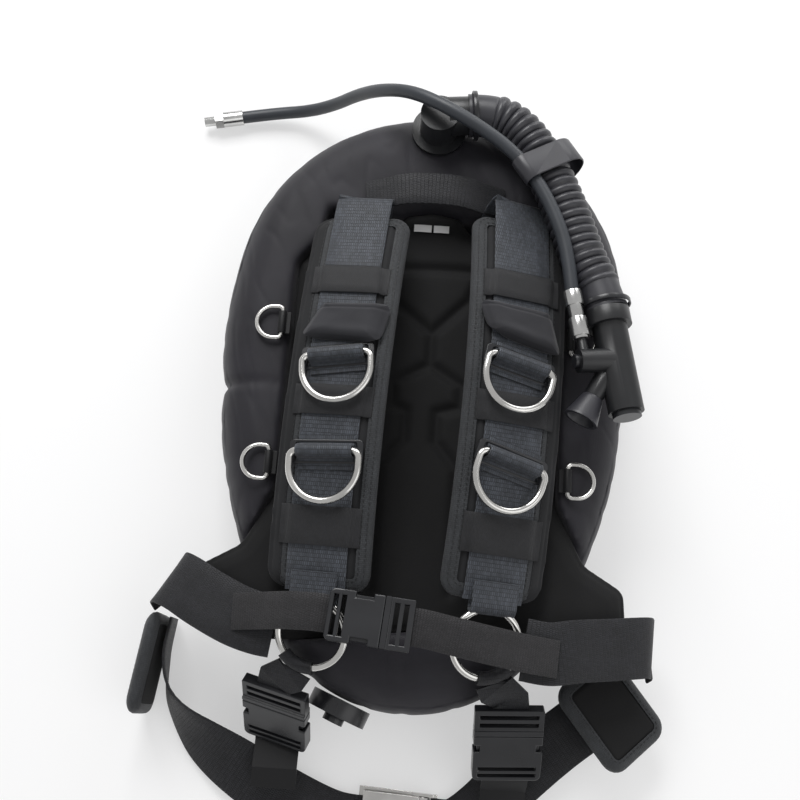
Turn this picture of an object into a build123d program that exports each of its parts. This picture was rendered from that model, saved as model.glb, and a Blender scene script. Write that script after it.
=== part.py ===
"""Scuba harness with a donut buoyancy wing, lying on its back.

+Z is up, off the floor, out of the padded harness side.  +Y runs to the head end, +X to the
wearer's left.  The pack is drawn about the middle of its backplate, and the last section moves
every piece together, so that the origin is the middle of the base.
"""
from build123d import *
from math import atan2, cos, degrees, hypot, pi, radians, sin, sqrt, tan
import os

# ---------------------------------------------------------------- driving dimensions, mm
CLEAR = 0.3             # gap between soft pieces and their neighbours
RUN = 0.1               # radial running clearance of pins and ring bars

WEB = 50.0              # harness webbing, width
WEB_T = 2.5             # harness webbing, thickness
CHEST_WEB = 30.0        # chest strap webbing, width
CHEST_T = 2.0

# buoyancy wing: an egg outline made of a head arc, two flank arcs and a foot arc
WING_T = 96.0           # lobe thickness
WING_ROUND = 40.0       # rounding of the lobes
HEAD_Y, HEAD_R = 82.0, 178.0
FOOT_Y, FOOT_R = -156.0, 135.0
FLANK_R = 480.0
HOLE_HEAD_Y, HOLE_R = 88.0, 62.0         # donut hole, half width at the head
HOLE_FOOT_Y, HOLE_FOOT_R = -147.0, 48.0
HOLE_FLANK_R = 1500.0
PANEL_Z, PANEL_T = 56.0, 3.0     # sewn centre panel across the hole

# backplate
PLATE_T = 3.0
PLATE_W, PLATE_TOP, PLATE_FOOT = 142.0, 122.0, -218.0
PLATE_CORNER = 18.0
BOLT_SPACING = 279.4    # eleven inches, as on every backplate
BOLT_HOLE_R = 5.0
BOLT_Y = 105.0          # upper bolt
CAM_SLOT_X = 48.0

# back pad with its waist wings
PAD_T = 13.0
PAD_HALF = 119.0        # half width
PAD_TOP = 158.0
PAD_SHOULDER_Y = 136.0
WAIST_REACH = 182.0

# shoulder straps: each is bent about one radius, in a frame of its own
ARCH_R = 700.0
STRAP_MID_Y = -32.0
STRAP_HALF = 168.0      # half length of a shoulder pad
SHOULDER_W = 86.0
SHOULDER_T = 11.0
STRAPS = {              # middle x, height of the pad's top face, yaw and roll
    "left": (-73.0, 133.0, -2.4, -10.0),
    "right": (77.0, 139.0, -2.0, 16.0),
}
OUT = {"left": -1.0, "right": 1.0}      # which way is outboard
KEEPER_T = 1.4
KEEPERS = ((98.0, 26.0), (-12.0, 26.0), (-116.0, 32.0))   # place along the strap, length
WRAP_S, WRAP_L, WRAP_T = 63.0, 38.0, 7.0
RINGS = {"upper": 26.0, "lower": -56.0}                    # ring bars along the strap
RING_SKEW = {("left", "upper"): 8.0, ("left", "lower"): 3.0,
             ("right", "upper"): -10.0, ("right", "lower"): -12.0}
RING_WIRE = 6.0
RING_IN = 52.0          # inside width of a shoulder ring
RING_DEPTH = 41.0       # bar to bow, on the wire's centreline
SLIDE_W, SLIDE_L, SLIDE_T = 62.0, 20.0, 2.0

# wing rings
SMALL_WIRE = 4.0
SMALL_IN = 25.0
SMALL_DEPTH = 22.0
SMALL_X = 127.0         # bar, from the middle
SMALL_Y = {"upper": 34.0, "lower": -92.0}

# junction rings at the foot of the shoulder straps
JOIN_R = 28.0           # wire centreline
JOIN_WIRE = 6.0
JOIN_S = -202.0         # along the strap

# hoses
HOSE_OD = 41.0
HOSE_WALL = 3.0
LP_OD = 12.0


# ---------------------------------------------------------------- shared shapes
parts = {}


def put(name, *shapes):
    """Keep a sub-part: one solid, or a group of separate ones."""
    parts[name] = [s for shape in shapes for s in shape.solids()]


def block(x0, x1, y0, y1, z0, z1):
    return Pos((x0 + x1) / 2, (y0 + y1) / 2, (z0 + z1) / 2) * Box(x1 - x0, y1 - y0, z1 - z0)


def rod(start, end, radius, hole=0.0):
    """A round bar, or a tube, from one point to another."""
    start, end = Vector(*start), Vector(*end)
    plane = Plane(origin=start, z_dir=end - start)
    face = Circle(radius) - Circle(hole) if hole else Circle(radius)
    return extrude(plane * face, amount=(end - start).length)


def frame(origin, x_dir, z_dir):
    return Plane(origin=origin, x_dir=x_dir, z_dir=z_dir).location


def ribbon(points, across, width, thick):
    """Flat webbing along straight runs.  across is its width direction, one or one a point."""
    points = [Vector(*p) for p in points]
    if not isinstance(across, list):
        across = [across] * len(points)
    sections = []
    for i, point in enumerate(points):
        before = points[max(i - 1, 0)]
        after = points[min(i + 1, len(points) - 1)]
        ahead = (after - before).normalized()
        side = Vector(*across[i])
        side = (side - ahead * side.dot(ahead)).normalized()
        sections.append(Plane(origin=point, x_dir=side, z_dir=ahead) * Rectangle(width, thick))
    return loft(sections, ruled=True)


def tube(points, diameter, wall=0.0):
    """A hose: straight runs joined by arcs as large as the runs allow."""
    points = [Vector(*p) for p in points]
    radii = []
    for a, b, c in zip(points, points[1:], points[2:]):
        turn = radians((b - a).get_angle(c - b))
        radii.append(0.45 * min((b - a).length, (c - b).length) / tan(turn / 2))
    line = FilletPolyline(*points, radius=radii)
    face = Circle(diameter / 2)
    if wall:
        face -= Circle(diameter / 2 - wall)
    solid = sweep(Plane(origin=line @ 0, z_dir=line % 0) * face, path=line)
    print("radii", [round(r) for r in radii], "length", round(line.length, 1),
          "volume ratio", round(solid.volume / (face.area * line.length), 4))
    return solid, line


def d_ring(inside, wire, depth):
    """Bar along X at the origin, bow towards -Y."""
    half = (inside + wire) / 2
    corner = wire
    leg = max(depth - half, corner + 0.5)
    path = FilletPolyline((0, 0), (half, 0), (half, -leg), radius=corner)
    path = path + CenterArc((0, -leg), half, 0, -90)
    side = sweep(Plane.YZ * Circle(wire / 2), path=path)
    return side + mirror(side, about=Plane.YZ)


def ring_sleeve(middle, spread, inner, outer):
    """A webbing loop round a stretch of a junction ring, in the ring's own frame."""
    start = Rot(0, 0, middle - spread / 2)
    face = Plane.XZ * (Pos(JOIN_R, 0) * (Circle(outer) - Circle(inner)))
    return revolve(start * face, axis=Axis.Z, revolution_arc=spread)


# ---------------------------------------------------------------- wing
def egg(head_r, foot_r, head_y, foot_y, flank_r):
    """Closed outline: head and foot arcs joined by two long flank arcs, tangent throughout."""
    d1, d2 = flank_r - head_r, flank_r - foot_r
    mid_y = (head_y**2 - foot_y**2 - d1**2 + d2**2) / (2 * (head_y - foot_y))
    mid_x = sqrt(d1**2 - (mid_y - head_y) ** 2)

    def touch(y, radius):
        away = Vector(-mid_x, y - mid_y).normalized()
        return away.X * radius, y + away.Y * radius

    left_head, left_foot = touch(head_y, head_r), touch(foot_y, foot_r)
    right_head, right_foot = (-left_head[0], left_head[1]), (-left_foot[0], left_foot[1])
    flank_x = mid_x - flank_r
    edges = Edge.make_three_point_arc(left_head, (0, head_y + head_r), right_head)
    edges += Edge.make_three_point_arc(right_head, (-flank_x, mid_y), right_foot)
    edges += Edge.make_three_point_arc(right_foot, (0, foot_y - foot_r), left_foot)
    edges += Edge.make_three_point_arc(left_foot, (flank_x, mid_y), left_head)
    return make_face(edges)


def pad_outline(grow=0.0):
    """Back pad and waist wings, seen from above, right half mirrored."""
    half = Polyline(
        (0, PAD_TOP), (24, PAD_TOP - 4), (37, PAD_SHOULDER_Y), (96, PAD_SHOULDER_Y - 12),
        (PAD_HALF, 96), (PAD_HALF, -112), (PAD_HALF + 26, -160), (WAIST_REACH, -178),
        (WAIST_REACH + 4, -228), (140, -240), (82, -236), (0, -224), close=True)
    right = make_face(half)
    corners = [v for v in right.vertices() if v.X > 1]
    right = fillet(corners, 9)
    both = right + mirror(right, about=Plane.YZ)
    return offset(both, amount=grow) if grow else both


PLATE_Z = PANEL_Z + PANEL_T + WEB_T + 2 * CLEAR    # underside of the plate
PAD_Z = PLATE_Z + PLATE_T + WEB_T + 2 * CLEAR      # underside of the pad at the middle
PAD_RISE, PAD_DROP = 9.0, 26.0                    # over the lobes, and at the waist tips


def pad_section(low, high):
    """The pad's section: flat on the plate, up over the lobes, down at the waist tips."""
    flat, lobe, tip = PLATE_W / 2 - 2, PAD_HALF - 4, WAIST_REACH + 30
    line = [(0, PAD_Z), (flat, PAD_Z), (lobe, PAD_Z + PAD_RISE),
            (lobe + 28, PAD_Z + PAD_RISE - 3), (tip, PAD_Z - PAD_DROP)]
    under = [(x, z + low) for x, z in line]
    over = [(x, z + high) for x, z in line]
    right = make_face(Polyline(*under, *reversed(over), close=True))
    both = right + mirror(right, about=Plane.YZ)
    return extrude(Plane.XZ * both, amount=400, both=True)


CAM_Y = {"upper": 68.0, "lower": -76.0}
CAM_LAYER = 3.0         # height of one layer of band on the floor
CAM_OUT = 150.0         # fold of each loop

wing = extrude(egg(HEAD_R, FOOT_R, HEAD_Y, FOOT_Y, FLANK_R), amount=WING_T)
hole = extrude(egg(HOLE_R, HOLE_FOOT_R, HOLE_HEAD_Y, HOLE_FOOT_Y, HOLE_FLANK_R), amount=WING_T)
wing -= hole
rims = wing.edges().filter_by(lambda e: abs(e.center().Z - WING_T / 2) > WING_T / 2 - 1)
wing = fillet(rims, WING_ROUND)
panel = extrude(egg(HOLE_R + 22, HOLE_FOOT_R + 22, HOLE_HEAD_Y, HOLE_FOOT_Y, HOLE_FLANK_R),
                amount=PANEL_T)
wing += Pos(0, 0, PANEL_Z) * panel
for cam_y in CAM_Y.values():
    groove = WEB / 2 + 2
    wing -= block(-CAM_OUT - 4, CAM_OUT + 4, cam_y - groove, cam_y + groove, 0, 2 * CAM_LAYER + 1)
    for side in (-1, 1):
        slot_x = side * CAM_SLOT_X
        wing -= block(slot_x - 4, slot_x + 4, cam_y - groove, cam_y + groove,
                      PANEL_Z - 1, PANEL_Z + PANEL_T + 1)
for bolt_y in (BOLT_Y, BOLT_Y - BOLT_SPACING):
    wing -= Pos(0, bolt_y, PANEL_Z - 1) * extrude(Circle(BOLT_HOLE_R), amount=PANEL_T + 2)
wing -= extrude(pad_outline(CLEAR * 2), amount=300) & pad_section(-CLEAR, 80)
plate_room = RectangleRounded(PLATE_W + 2, PLATE_TOP - PLATE_FOOT + 2, PLATE_CORNER)
wing -= Pos(0, (PLATE_TOP + PLATE_FOOT) / 2, PANEL_Z + PANEL_T) * extrude(plate_room, amount=60)
ROOT_X, ROOT_Y = 64.0, PAD_SHOULDER_Y + 7.0         # where the shoulder webbing turns under
ROOT_Z = PANEL_Z + PANEL_T + CLEAR + WEB_T / 2
for side in (-1, 1):
    room = block(10, ROOT_X + 34, PLATE_TOP - 38, ROOT_Y + 8, PANEL_Z + PANEL_T, 150)
    wing -= room if side > 0 else mirror(room, about=Plane.YZ)

# ---------------------------------------------------------------- backplate and its fastenings
plate = RectangleRounded(PLATE_W, PLATE_TOP - PLATE_FOOT, PLATE_CORNER)
plate = Pos(0, (PLATE_TOP + PLATE_FOOT) / 2, PLATE_Z) * extrude(plate, amount=PLATE_T)
SHOULDER_SLOT_Y = 84.0
for side in (-1, 1):
    for cam_y in CAM_Y.values():
        slot = Pos(side * CAM_SLOT_X, cam_y, PLATE_Z - 1) * extrude(
            SlotOverall(WEB + 4, 6, rotation=90), amount=PLATE_T + 2)
        plate -= slot
    waist_slot = Pos(side * (PLATE_W / 2 - 14), -190, PLATE_Z - 1) * extrude(
        SlotOverall(40, 7, rotation=90), amount=PLATE_T + 2)
    plate -= waist_slot
bolts = []
for bolt_y in (BOLT_Y, BOLT_Y - BOLT_SPACING):
    plate -= Pos(0, bolt_y, PLATE_Z - 1) * extrude(Circle(BOLT_HOLE_R), amount=PLATE_T + 2)
    screw_low = PANEL_Z - 18
    head_z = PLATE_Z + PLATE_T
    screw = Pos(0, bolt_y, screw_low) * Cylinder(
        4.0, head_z - screw_low, align=(Align.CENTER, Align.CENTER, Align.MIN))
    screw += Pos(0, bolt_y, head_z) * Cylinder(
        8.0, 2.4, align=(Align.CENTER, Align.CENTER, Align.MIN))
    nut = Pos(0, bolt_y, PANEL_Z - 7) * extrude(RegularPolygon(9, 6), amount=7)
    nut += Pos(0, bolt_y, PANEL_Z - 7) * Box(30, 4, 12, align=(Align.CENTER, Align.CENTER, Align.MAX))
    bolts.append(screw + nut)
put("wing_bladder", wing)
put("backplate", plate)
put("plate_bolts", *bolts)

pad = extrude(pad_outline(), amount=300) & pad_section(0, PAD_T)
put("back_pad", pad)

# ---------------------------------------------------------------- tank bands and cam buckles
cam_bands, cam_frames = [], []
LOW = CAM_LAYER / 2
BAND_T = 2.4
CAM_FRAME_L, CAM_FRAME_H, CAM_FRAME_W = 56.0, 9.0, WEB + 12
CAM_PIN_X, CAM_PIN_Z, CAM_PIN_R = 12.0, 12.5, 2.5
CAM_LEVER_END = 22.0    # short enough to open fully under the centre panel
cam_levers = {}
for name, cam_y in CAM_Y.items():
    top_z = PLATE_Z + PLATE_T + CLEAR + BAND_T / 2
    side_x = CAM_SLOT_X
    loop = [(0, top_z), (side_x - 3, top_z), (side_x, top_z - 4), (side_x, 12),
            (side_x + 8, LOW + CAM_LAYER), (CAM_OUT - 3, LOW + CAM_LAYER),
            (CAM_OUT, LOW + CAM_LAYER / 2), (CAM_OUT - 3, LOW), (CAM_FRAME_L / 2 + CLEAR, LOW)]
    half = ribbon([(x, cam_y, z) for x, z in loop], (0, 1, 0), WEB, BAND_T)
    other = mirror(half, about=Plane.YZ)
    cam_bands.append(half + other)
    base = block(-CAM_FRAME_L / 2, CAM_FRAME_L / 2, cam_y - CAM_FRAME_W / 2,
                 cam_y + CAM_FRAME_W / 2, CLEAR, CLEAR + 3.5)
    for side in (-1, 1):
        cheek_y = cam_y + side * (CAM_FRAME_W / 2 - 2)
        base += block(CAM_PIN_X - 9, CAM_PIN_X + 9, cheek_y - 2, cheek_y + 2, CLEAR + 2, 17)
    base += rod((CAM_PIN_X, cam_y - CAM_FRAME_W / 2, CAM_PIN_Z),
                (CAM_PIN_X, cam_y + CAM_FRAME_W / 2, CAM_PIN_Z), CAM_PIN_R)
    cam_frames.append(base)
    lever_half = CAM_FRAME_W / 2 - 4 - CLEAR
    lever = rod((CAM_PIN_X, cam_y - lever_half, CAM_PIN_Z), (CAM_PIN_X, cam_y + lever_half, CAM_PIN_Z),
                6.0, CAM_PIN_R + RUN)
    lever += block(-CAM_LEVER_END, CAM_PIN_X - 4, cam_y - lever_half, cam_y + lever_half, 13.0, 16.5)
    cam_levers[name] = lever
put("cam_bands", *cam_bands)
put("cam_buckles", *cam_frames)
for name, lever in cam_levers.items():
    put(f"cam_lever_{name}", lever)

# ---------------------------------------------------------------- shoulder straps


def arc_point(s, lift, x=0.0):
    """A point s along a strap, lift above the pad's top face, in the strap's own frame."""
    a = s / ARCH_R
    return Vector(x, (ARCH_R + lift) * sin(a), (ARCH_R + lift) * cos(a) - ARCH_R)


def arc_band(s0, s1, low, high, width, x=0.0):
    """A band bent along the strap, from s0 to s1."""
    def yz(s, lift):
        p = arc_point(s, lift)
        return (0, p.Y, p.Z)
    mid = (s0 + s1) / 2
    outline = [
        Edge.make_three_point_arc(yz(s0, high), yz(mid, high), yz(s1, high)),
        Edge.make_line(yz(s1, high), yz(s1, low)),
        Edge.make_three_point_arc(yz(s1, low), yz(mid, low), yz(s0, low)),
        Edge.make_line(yz(s0, low), yz(s0, high)),
    ]
    face = make_face(outline)
    return Pos(x, 0, 0) * extrude(face, amount=width / 2, both=True, dir=(1, 0, 0))


def station(s, lift, skew=0.0):
    """A place on the strap: X across, Y along it, Z out of it."""
    a = degrees(s / ARCH_R)
    place = arc_point(s, lift)
    return Location((0, place.Y, place.Z)) * Rot(-a, 0, 0) * Rot(0, 0, skew)


def bridge(s, length, width, hollow, depth, thick, x=0.0):
    """A loop sewn to the pad over the webbing: a top with two legs."""
    outer = arc_band(s - length / 2, s + length / 2, 0.2, depth + thick, width, x)
    return outer - arc_band(s - length, s + length, -1, depth, hollow)


WEB_LIFT = CLEAR + WEB_T                # top face of the webbing on the pad
BAR_LIFT = WEB_LIFT + SLIDE_T + 2 * CLEAR + RING_WIRE / 2 + WEB_T
strap_frames, joint_frames = {}, {}
slides, keepers = [], []
for side, (mid_x, top_z, yaw, roll) in STRAPS.items():
    place = Location((mid_x, STRAP_MID_Y, top_z)) * Rot(0, 0, yaw) * Rot(0, roll, 0)
    strap_frames[side] = place
    out = OUT[side]

    pad_body = arc_band(-STRAP_HALF, STRAP_HALF, -SHOULDER_T, 0, SHOULDER_W)
    ends = pad_body.edges().filter_by(lambda e: abs(e.length - SHOULDER_T) < 0.5)
    pad_body = fillet(ends, 16)
    put(f"shoulder_pad_{side}", place * pad_body)

    webbing = arc_band(-STRAP_HALF - 2, STRAP_HALF - 1, CLEAR, WEB_LIFT, WEB)
    for level, s in RINGS.items():
        skew = RING_SKEW[side, level]
        seat = station(s, BAR_LIFT, skew)
        sleeve = seat * rod((-WEB / 2 + 2, 0, 0), (WEB / 2 - 2, 0, 0),
                            RING_WIRE / 2 + WEB_T, RING_WIRE / 2 + RUN)
        leg = block(-WEB / 2 + 2, WEB / 2 - 2, 2.2, 4.4, -BAR_LIFT + WEB_LIFT / 2, -1.0)
        legs = seat * (leg + mirror(leg, about=Plane.XZ))
        legs = legs - (seat * rod((-WEB, 0, 0), (WEB, 0, 0), RING_WIRE / 2 + RUN))
        webbing = webbing + sleeve + legs
        ring = seat * d_ring(RING_IN, RING_WIRE, RING_DEPTH)
        put(f"shoulder_ring_{side}_{level}", place * ring)
        joint_frames[f"shoulder_ring_{side}_{level}"] = place * seat
        slide_seat = station(s, WEB_LIFT + CLEAR, skew)
        slide = RectangleRounded(SLIDE_W, SLIDE_L, 4)
        for row in (-1, 1):
            slide -= Pos(0, row * 4.8) * RectangleRounded(WEB + 2, 6.2, 2)
        slides.append(place * slide_seat * extrude(slide, amount=SLIDE_T))

    # the junction ring hangs in the webbing's folded end
    ring_seat = station(JOIN_S, WEB_LIFT + 1.0)
    sleeve = ring_sleeve(90, 72, JOIN_WIRE / 2 + RUN, JOIN_WIRE / 2 + 2.6)
    top_s = JOIN_S + JOIN_R + JOIN_WIRE / 2 + 1.2
    tongue = arc_band(top_s, -STRAP_HALF, CLEAR, WEB_LIFT, WEB - 14)
    webbing = webbing + (ring_seat * sleeve) + tongue
    joint_frames[f"joint_ring_{side}"] = place * ring_seat
    put(f"joint_ring_{side}", place * ring_seat * Torus(JOIN_R, JOIN_WIRE / 2))

    # over the top edge of the back pad and down behind the plate
    webbing = place * webbing
    mid_lift = (CLEAR + WEB_LIFT) / 2
    start, rim = [(place * Pos(*arc_point(s, mid_lift + 0.3))).position
                  for s in (STRAP_HALF - 2, STRAP_HALF + 8)]
    path = [start, rim, Vector(out * ROOT_X, ROOT_Y, PAD_Z + PAD_T + 8),
            Vector(out * ROOT_X, ROOT_Y, PLATE_Z + 2), Vector(out * (ROOT_X - 2), ROOT_Y - 4, ROOT_Z),
            Vector(out * (ROOT_X - 16), PLATE_TOP - 24, ROOT_Z)]
    side_dir = tuple(Plane(place).x_dir)
    lean = (1, -out * 0.35, 0)
    sides = [side_dir, side_dir, (1, 0, 0), (1, 0, 0), (1, 0, 0), lean]
    root = ribbon([tuple(p) for p in path], sides, WEB - 1, WEB_T - 0.4)
    put(f"shoulder_webbing_{side}", webbing + root)

    for s, length in KEEPERS:
        keepers.append(place * bridge(s, length, SHOULDER_W - 16, WEB + 1.5, WEB_LIFT + CLEAR, KEEPER_T))
    flap_x = -3.0
    put(f"strap_wrap_{side}", place * bridge(
        WRAP_S, WRAP_L, SHOULDER_W + 4, WEB + 1.5, WEB_LIFT + CLEAR, WRAP_T, flap_x))
put("strap_slides", *slides)
put("shoulder_keepers", *keepers)

# ---------------------------------------------------------------- wing rings in their tabs
tabs = []
SMALL_Z = WING_T + CLEAR + SMALL_WIRE / 2 + 1.5
for side, out in OUT.items():
    for level, ring_y in SMALL_Y.items():
        seat = Location(Plane(origin=(out * SMALL_X, ring_y, SMALL_Z), x_dir=(0, out, 0),
                              z_dir=(0, 0, 1)))
        ring = seat * d_ring(SMALL_IN, SMALL_WIRE, SMALL_DEPTH)
        put(f"wing_ring_{side}_{level}", ring)
        joint_frames[f"wing_ring_{side}_{level}"] = seat
        tab = rod((-10, 0, 0), (10, 0, 0), SMALL_WIRE / 2 + 1.5, SMALL_WIRE / 2 + RUN)
        tab = tab + block(-10, 10, 2.6, 7, -3.4, -0.6)
        tabs.append(seat * tab)
put("wing_ring_tabs", *tabs)

# ---------------------------------------------------------------- carry handle
HANDLE_W = 30.0
put("carry_handle", ribbon([(-62, 161, 97.6), (-46, 163, 103), (-25, 166, 109), (0, 167, 110),
                              (25, 166, 109), (46, 163, 103), (62, 161, 97.6)],
                             (0, 1, 0), HANDLE_W, WEB_T))

# ---------------------------------------------------------------- side release buckles


def side_release(web, long, share=0.62):
    """Socket and plug.  The web runs along X, the plug leaves towards +X, mouth at X = 0."""
    wide, thick, wall = web + 11, 12.0, 2.4
    socket = block(-long, 0, -wide / 2, wide / 2, -thick / 2, thick / 2)
    upright = socket.edges().filter_by(Axis.Z)
    socket = fillet(upright.sort_by(Axis.X)[:2], 5)
    cavity_w, cavity_t, deep = wide - 2 * wall, thick - 2 * wall, long * share
    socket -= block(-deep, 1, -cavity_w / 2, cavity_w / 2, -cavity_t / 2, cavity_t / 2)
    for side in (-1, 1):
        window = block(-deep + 4, -9, wide / 2 - wall - 3, wide / 2 + 1, -thick, thick)
        socket -= window if side > 0 else mirror(window, about=Plane.XZ)
    for row in (0, 1):
        x = -long + 3.5 + row * 6.5
        socket -= block(x, x + 3.6, -web / 2 - 1, web / 2 + 1, -thick, thick)
    plug = block(CLEAR, 5, -wide / 2, wide / 2, -thick / 2, thick / 2)
    tail = block(4, 24, -wide / 2, wide / 2, -thick / 2 + 1.5, thick / 2 - 1.5)
    for row in (0, 1):
        x = 8 + row * 7.5
        tail -= block(x, x + 4, -web / 2 - 1, web / 2 + 1, -thick, thick)
    plug += tail
    prong_t, arm = cavity_t - 2 * CLEAR, cavity_w / 2 - CLEAR
    plug += block(-deep + 2, 1, -3, 3, -prong_t / 2, prong_t / 2)
    for side in (-1, 1):
        prong = block(-deep + 3, 1, arm - 5, arm, -prong_t / 2, prong_t / 2)
        plug += prong if side > 0 else mirror(prong, about=Plane.XZ)
    return socket, plug


# ---------------------------------------------------------------- chest strap
CHEST_PLACE = Location((-20.0, -222.0, 132.0)) * Rot(0, 0, -5)
chest_socket, chest_plug = side_release(CHEST_WEB, 44.0)
put("chest_buckle_socket", CHEST_PLACE * chest_socket)
put("chest_buckle_plug", CHEST_PLACE * chest_plug)
joint_frames["chest_buckle"] = CHEST_PLACE
left_end, left_run = [(CHEST_PLACE * Pos(-44.0 - x, 0, 0)).position for x in (CLEAR, 10)]
right_end, right_run = [(CHEST_PLACE * Pos(24.0 + x, 0, 0)).position for x in (CLEAR, 10)]
put("chest_strap_left", ribbon(
    [(-143, -219, 102.6), (-124, -218, 111), (-98, -217, 126), tuple(left_run), tuple(left_end)],
    (0.05, 1, 0), CHEST_WEB, CHEST_T))
put("chest_strap_right", ribbon(
    [tuple(right_end), tuple(right_run), (36, -229, 132), (66, -234, 129.5), (98, -238, 118),
     (122, -240, 107.2)], (0.08, 1, 0), CHEST_WEB, CHEST_T))

# ---------------------------------------------------------------- waist: straps, pads, belt
BELT_T = 2.5
waist_runs = {
    "left": [(-108.3, -228.9, 103), (-122, -227, 103), (-142, -221, 99.5), (-170, -208, 88), (-190, -197, 78),
             (-204, -191, 67), (-207, -192, 53), (-203, -200, 41)],
    "right": [(94.4, -233.9, 105.8), (116, -236, 105), (140, -232, 100.5), (170, -228, 88), (190, -225, 79),
              (204, -223, 68), (207, -224, 54), (203, -228, 43)],
}
waist_across = {"left": [(0.1, 1, 0), (0.25, 0.95, 0)] + [(0.5, 0.86, 0)] * 6, "right": (0.06, 1.0, 0.0)}
put("waist_straps", *[ribbon(waist_runs[side], waist_across[side], WEB, BELT_T) for side in OUT])

belt_runs = {
    "left": [(-205, -222, 29), (-208, -256, 28), (-200, -290, 26), (-172, -320, 22),
             (-132, -346, 16), (-94, -366, 11), (-56, -381, 7), (-25, -385, 5.1)],
    "right": [(186, -262, 28), (160, -284, 24), (128, -310, 21), (98, -338, 17),
              (74, -364, 13), (52, -381, 7.8), (30.5, -383, 5.1)],
}
belt_across = {
    "left": [(0.1, 0, 1), (0.1, 0, 1), (0.3, 0.2, 0.9), (0.45, 0.6, 0.6), (0.4, 0.9, 0.3),
             (0.3, 1, 0.1), (0.1, 1, 0), (0, 1, 0)],
    "right": [(0.5, 0.9, 0.1)] * 5 + [(0, 1, 0)] * 2,
}
for side in OUT:
    put(f"belt_webbing_{side}", ribbon(belt_runs[side], belt_across[side], WEB, BELT_T))

hip_seats = {       # middle, length direction, face normal
    "left": ((-220, -262, 35), (-0.12, -0.99, 0), (-0.99, 0.12, 0)),
    "right": ((176, -277, 43.4), (0.64, -0.77, -0.1), (0.25, 0.1, 0.95)),
}
HIP_L, HIP_W, HIP_T = 84.0, 66.0, 12.0
for side, (middle, lengthways, normal) in hip_seats.items():
    slab = extrude(RectangleRounded(HIP_L, HIP_W, 14), amount=HIP_T / 2, both=True)
    put(f"hip_pad_{side}", frame(middle, lengthways, normal) * slab)

# waist buckle: a steel frame with a hinged locking lever
BUCKLE_Y, BUCKLE_Z = -384.0, 8.0
LEVER_R, LEVER_UP = 3.0, 1.5
waist_place = Location((0, BUCKLE_Y, BUCKLE_Z)) * Rot(0, 0, -3)
buckle_frame = block(-34, 34, -31, 31, -7, -4.5)
buckle_frame -= block(-27, -20, -26, 26, -10, 0)
buckle_frame -= block(2, 12, -26, 26, -10, 0)
for side in (-1, 1):
    cheek = block(12, 30, 28.5, 31, -5, 5)
    buckle_frame += cheek if side > 0 else mirror(cheek, about=Plane.XZ)
buckle_frame += rod((22, -31, LEVER_UP), (22, 31, LEVER_UP), LEVER_R)
lever = rod((22, -28, LEVER_UP), (22, 28, LEVER_UP), LEVER_R + 2.5, LEVER_R + RUN)
lever += block(-30, 18, -28, 28, LEVER_UP + 2.6, LEVER_UP + 4.8)
put("waist_buckle_frame", waist_place * buckle_frame)
put("waist_buckle_lever", waist_place * lever)
joint_frames["waist_lever"] = waist_place * Pos(22, 0, LEVER_UP)

# ---------------------------------------------------------------- lower quick releases
LOWER_LONG = 44.0
lower_seats = {     # mouth of the socket, way to the ring, width direction
    "left": ((-105, -290, 62), (0.0, 0.6, 0.8), (0.88, -0.35, 0)),
    "right": ((88, -299, 68), (-0.03, 0.8, 0.6), (1, 0.1, 0)),
}
LOWER_ANGLE = {"left": -114.0, "right": -66.0}
TAIL_ENDS = {"left": (-105, -357, 26.6), "right": (89, -362, 24.5)}    # sewn on the belt
tails = []
for side, (mouth, toward, across) in lower_seats.items():
    toward, across = Vector(*toward).normalized(), Vector(*across)
    across = (across - toward * across.dot(toward)).normalized()
    normal = toward.cross(across)
    seat = frame(mouth, toward, normal if normal.Z > 0 else normal * -1)
    socket, plug = side_release(WEB - 4, LOWER_LONG, 0.44)
    put(f"lower_buckle_socket_{side}", seat * socket)
    put(f"lower_buckle_plug_{side}", seat * plug)
    joint_frames[f"lower_buckle_{side}"] = seat
    ring_frame = joint_frames[f"joint_ring_{side}"]
    angle = radians(LOWER_ANGLE[side])
    ray = Vector(cos(angle), sin(angle), 0)
    sleeve = ring_sleeve(LOWER_ANGLE[side], 56, JOIN_WIRE / 2 + RUN, JOIN_WIRE / 2 + 2.6)
    reach = JOIN_R + JOIN_WIRE / 2 + 2.7
    start = (ring_frame * Pos(*(ray * reach))).position
    bend = (ring_frame * Pos(*(ray * (reach + 5)))).position
    stop, before = [(seat * Pos(24.0 + x, 0, 0)).position for x in (CLEAR, 8)]
    ring_side = Plane(ring_frame * Rot(0, 0, LOWER_ANGLE[side] + 90)).x_dir
    lower_across = tuple(across)
    band = ribbon([tuple(start), tuple(bend), tuple(before), tuple(stop)],
                  [tuple(ring_side), tuple(ring_side), lower_across, lower_across], WEB - 18, WEB_T)
    put(f"lower_strap_{side}", ring_frame * sleeve, band)
    foot, after = [(seat * Pos(-LOWER_LONG - x, 0, 0)).position for x in (CLEAR, 3)]
    x, tail_y, tail_z = TAIL_ENDS[side]
    tails.append(ribbon([tuple(foot), tuple(after), (x, tail_y + 16, tail_z + 3), (x, tail_y, tail_z)],
                        (1, 0, 0), WEB - 12, WEB_T))
put("lower_tails", *tails)

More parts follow.
